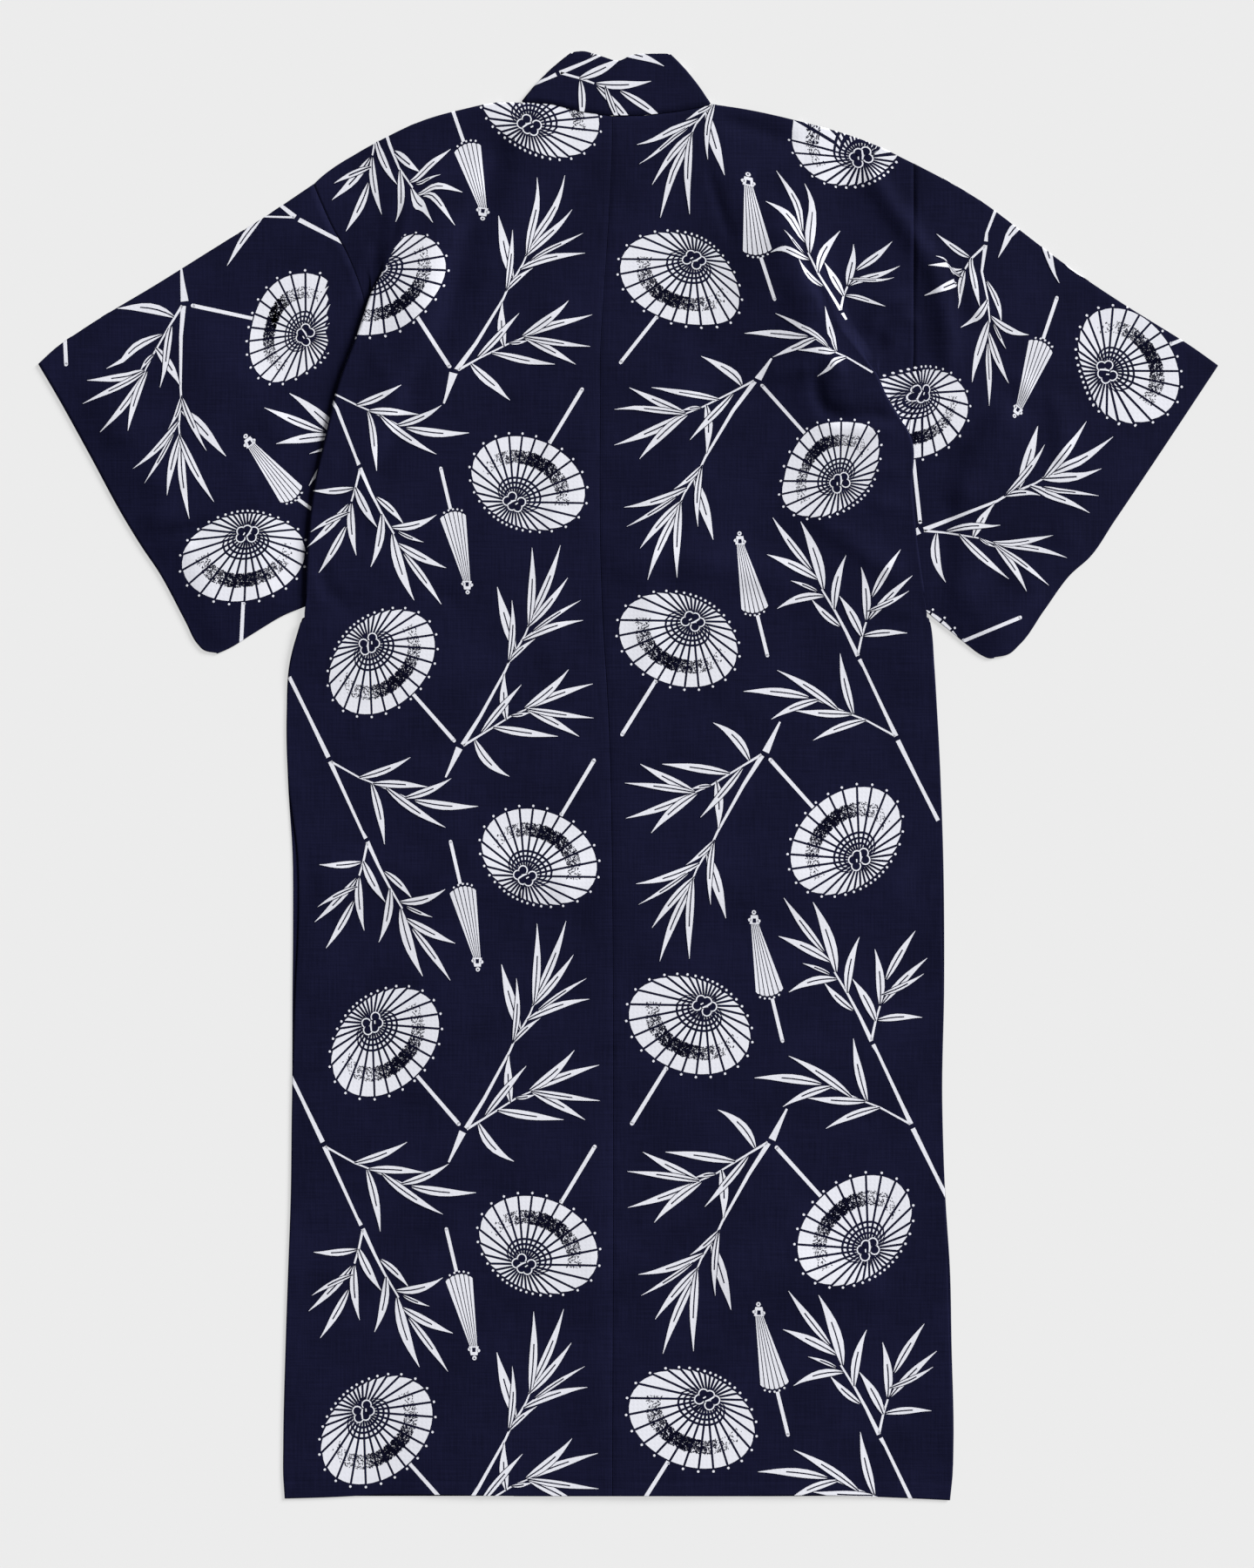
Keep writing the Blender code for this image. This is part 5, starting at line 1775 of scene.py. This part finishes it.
def navy_cotton():
    """Deep navy cotton whose dye is a little uneven from thread to thread."""
    material, shader = principled("navy_cotton", NAVY_DEEP, NAVY_ROUGH, NAVY_GLOSS)
    tree = material.node_tree
    link = tree.links.new
    place = weave(tree, shader, strength=0.3, crumple=0.6)
    both = node(tree, "ShaderNodeMath", operation="ADD")
    link(slubs(tree, place, "X"), both.inputs[0])
    link(slubs(tree, place, "Y"), both.inputs[1])
    dye = node(tree, "ShaderNodeTexNoise", Scale=DYE_SCALE, Detail=2.0)
    link(place, dye.inputs["Vector"])
    total = node(tree, "ShaderNodeMath", operation="ADD")
    link(both.outputs[0], total.inputs[0])
    link(dye.outputs["Fac"], total.inputs[1])
    scaled = node(tree, "ShaderNodeMapRange", From_Min=DYE_FROM, From_Max=DYE_TO)
    link(total.outputs[0], scaled.inputs["Value"])
    ramp = node(tree, "ShaderNodeValToRGB")
    link(scaled.outputs["Result"], ramp.inputs["Fac"])
    ramp.color_ramp.elements[0].color = (*NAVY_DEEP, 1)
    ramp.color_ramp.elements[1].color = (*NAVY_PALE, 1)
    link(ramp.outputs["Color"], shader.inputs["Base Color"])
    return material


def white_ink():
    """White print, with the weave showing through it."""
    material, shader = principled("white_print", WHITE_INK, WHITE_ROUGH, WHITE_GLOSS)
    weave(material.node_tree, shader, strength=0.3, crumple=0.15)
    return material


def plain_navy():
    """The cloth's navy, for what of it shows within the print."""
    colour = mix(np.array(NAVY_DEEP), np.array(NAVY_PALE), 0.5)
    return principled("print_navy", colour, NAVY_ROUGH, NAVY_GLOSS)[0]


# What was cut for each piece that shows, in metres and square metres, all round on a sleeve
Cut = namedtuple("Cut", "width length area held rests_on")


def dress():
    """Makes every cloth piece with its print."""
    navy = navy_cotton()
    printed = {WHITE: (white_ink(), "white_print"), NAVY: (plain_navy(), "navy_cotton")}
    pieces = {}
    for side in SIDES:
        panel = Panel(side)
        points, layers = panel.grid()
        body = Skin(
            points, WALL, lambda i, j: panel.present(layers, i, j), flip=side is LEFT
        )
        up_places = back_places(side)
        if side is RIGHT:
            domes = [p for p in laid(SLEEVE_LAYOUTS["right"]) if p.motif in DOMES]
            up_places += [p._replace(zone=BEYOND) for p in domes]
        pieces["body_" + side.name] = body, up_places, laid(FRONT_LAYOUTS[side.name])
        sleeve = Skin(sleeve_grid(side), WALL, ring=True, flip=side is RIGHT)
        pieces["sleeve_" + side.name] = (
            sleeve,
            laid(SLEEVE_LAYOUTS[side.name]),
            laid(SLEEVE_UNDER_LAYOUTS[side.name]),
        )
        points, present = overlap_grid(side)
        overlap = Skin(points, WALL, present, flip=side is LEFT)
        pieces["overlap_" + side.name] = overlap, [], laid(OVERLAP_LAYOUTS[side.name])
    collar = Skin(collar_grid(), BAND_WALL, flip=True)
    fronts = [place for layout in COLLAR_LAYOUTS for place in laid(layout)]
    pieces["collar"] = collar, [COLLAR_BACK], fronts
    for name, (skin, up_places, down_places) in pieces.items():
        cloth = new_object("cloth_" + name, skin.points, skin.faces, navy)
        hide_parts(name)
        ink = lay_print(name, skin, up_places, down_places, printed)


VIEW_MIDDLE = Vector((15.1, 727.1, 0))
VIEW_HEIGHT = 1602.0
CAMERA_UP = 4.0  # in metres, as the next one
CAMERA_REACH = 50.0
SENSOR = 36.0


def camera():
    """Looks straight down on the garment."""
    data = bpy.data.cameras.new("camera")
    data.sensor_width = SENSOR
    data.lens = SENSOR * CAMERA_UP / (VIEW_HEIGHT * MM)
    data.clip_end = CAMERA_REACH
    obj = linked("camera", data)
    obj.location = (VIEW_MIDDLE + Vector(SHIFT)) * MM + Vector((0, 0, CAMERA_UP))
    bpy.context.scene.camera = obj


STAGE_HALF = 12.0  # half the floor's width, in metres
STAGE_LEVEL = -0.4
STAGE_ROUGH = 0.9
FLOOR_GREY = (0.25, 0.25, 0.25)
FLOOR_GLOW = 0.589  # the floor is lit from below, like a light table, so shadows on it are faint
SKY = 0.2
SUN_SHARE = 0.8  # share of the light on level cloth that comes from the one lamp
SUN_FROM = Vector((0.80, 0.60, 0.50))
SUN_SPREAD = 25  # degrees that the lamp covers, which softens its shadows


def floor():
    """The pale floor under the garment."""
    mesh = bpy.data.meshes.new("floor")
    corners = [
        (x * STAGE_HALF, y * STAGE_HALF, 0) for x, y in ((-1, -1), (1, -1), (1, 1), (-1, 1))
    ]
    mesh.from_pydata(corners, [], [(0, 1, 2, 3)])
    material, shader = principled("floor", FLOOR_GREY, STAGE_ROUGH, 0.0)
    shader.inputs["Emission Color"].default_value = (1, 1, 1, 1)
    shader.inputs["Emission Strength"].default_value = FLOOR_GLOW
    mesh.materials.append(material)
    obj = linked("floor", mesh)
    obj.location.z = STAGE_LEVEL * MM


def lights():
    """An even pale sky and one wide lamp from the upper right."""
    world = bpy.data.worlds.new("studio")
    world.use_nodes = True
    world.node_tree.nodes["Background"].inputs["Color"].default_value = (1, 1, 1, 1)
    world.node_tree.nodes["Background"].inputs["Strength"].default_value = SKY
    bpy.context.scene.world = world
    data = bpy.data.lights.new("key", "SUN")
    data.energy = SUN_SHARE * math.pi / SUN_FROM.normalized().z
    data.angle = math.radians(SUN_SPREAD)
    obj = linked("key", data)
    obj.rotation_euler = SUN_FROM.to_track_quat("Z", "Y").to_euler()


LEFT_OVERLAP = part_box("overlap_left")[0] / MM
SHIFT = (LEFT_OVERLAP[0] + LEFT.overlap_seam - SEAM / 2, LEFT_OVERLAP[1], 0.0)

bpy.context.scene.view_settings.view_transform = "Standard"
dress()
floor()
lights()
camera()
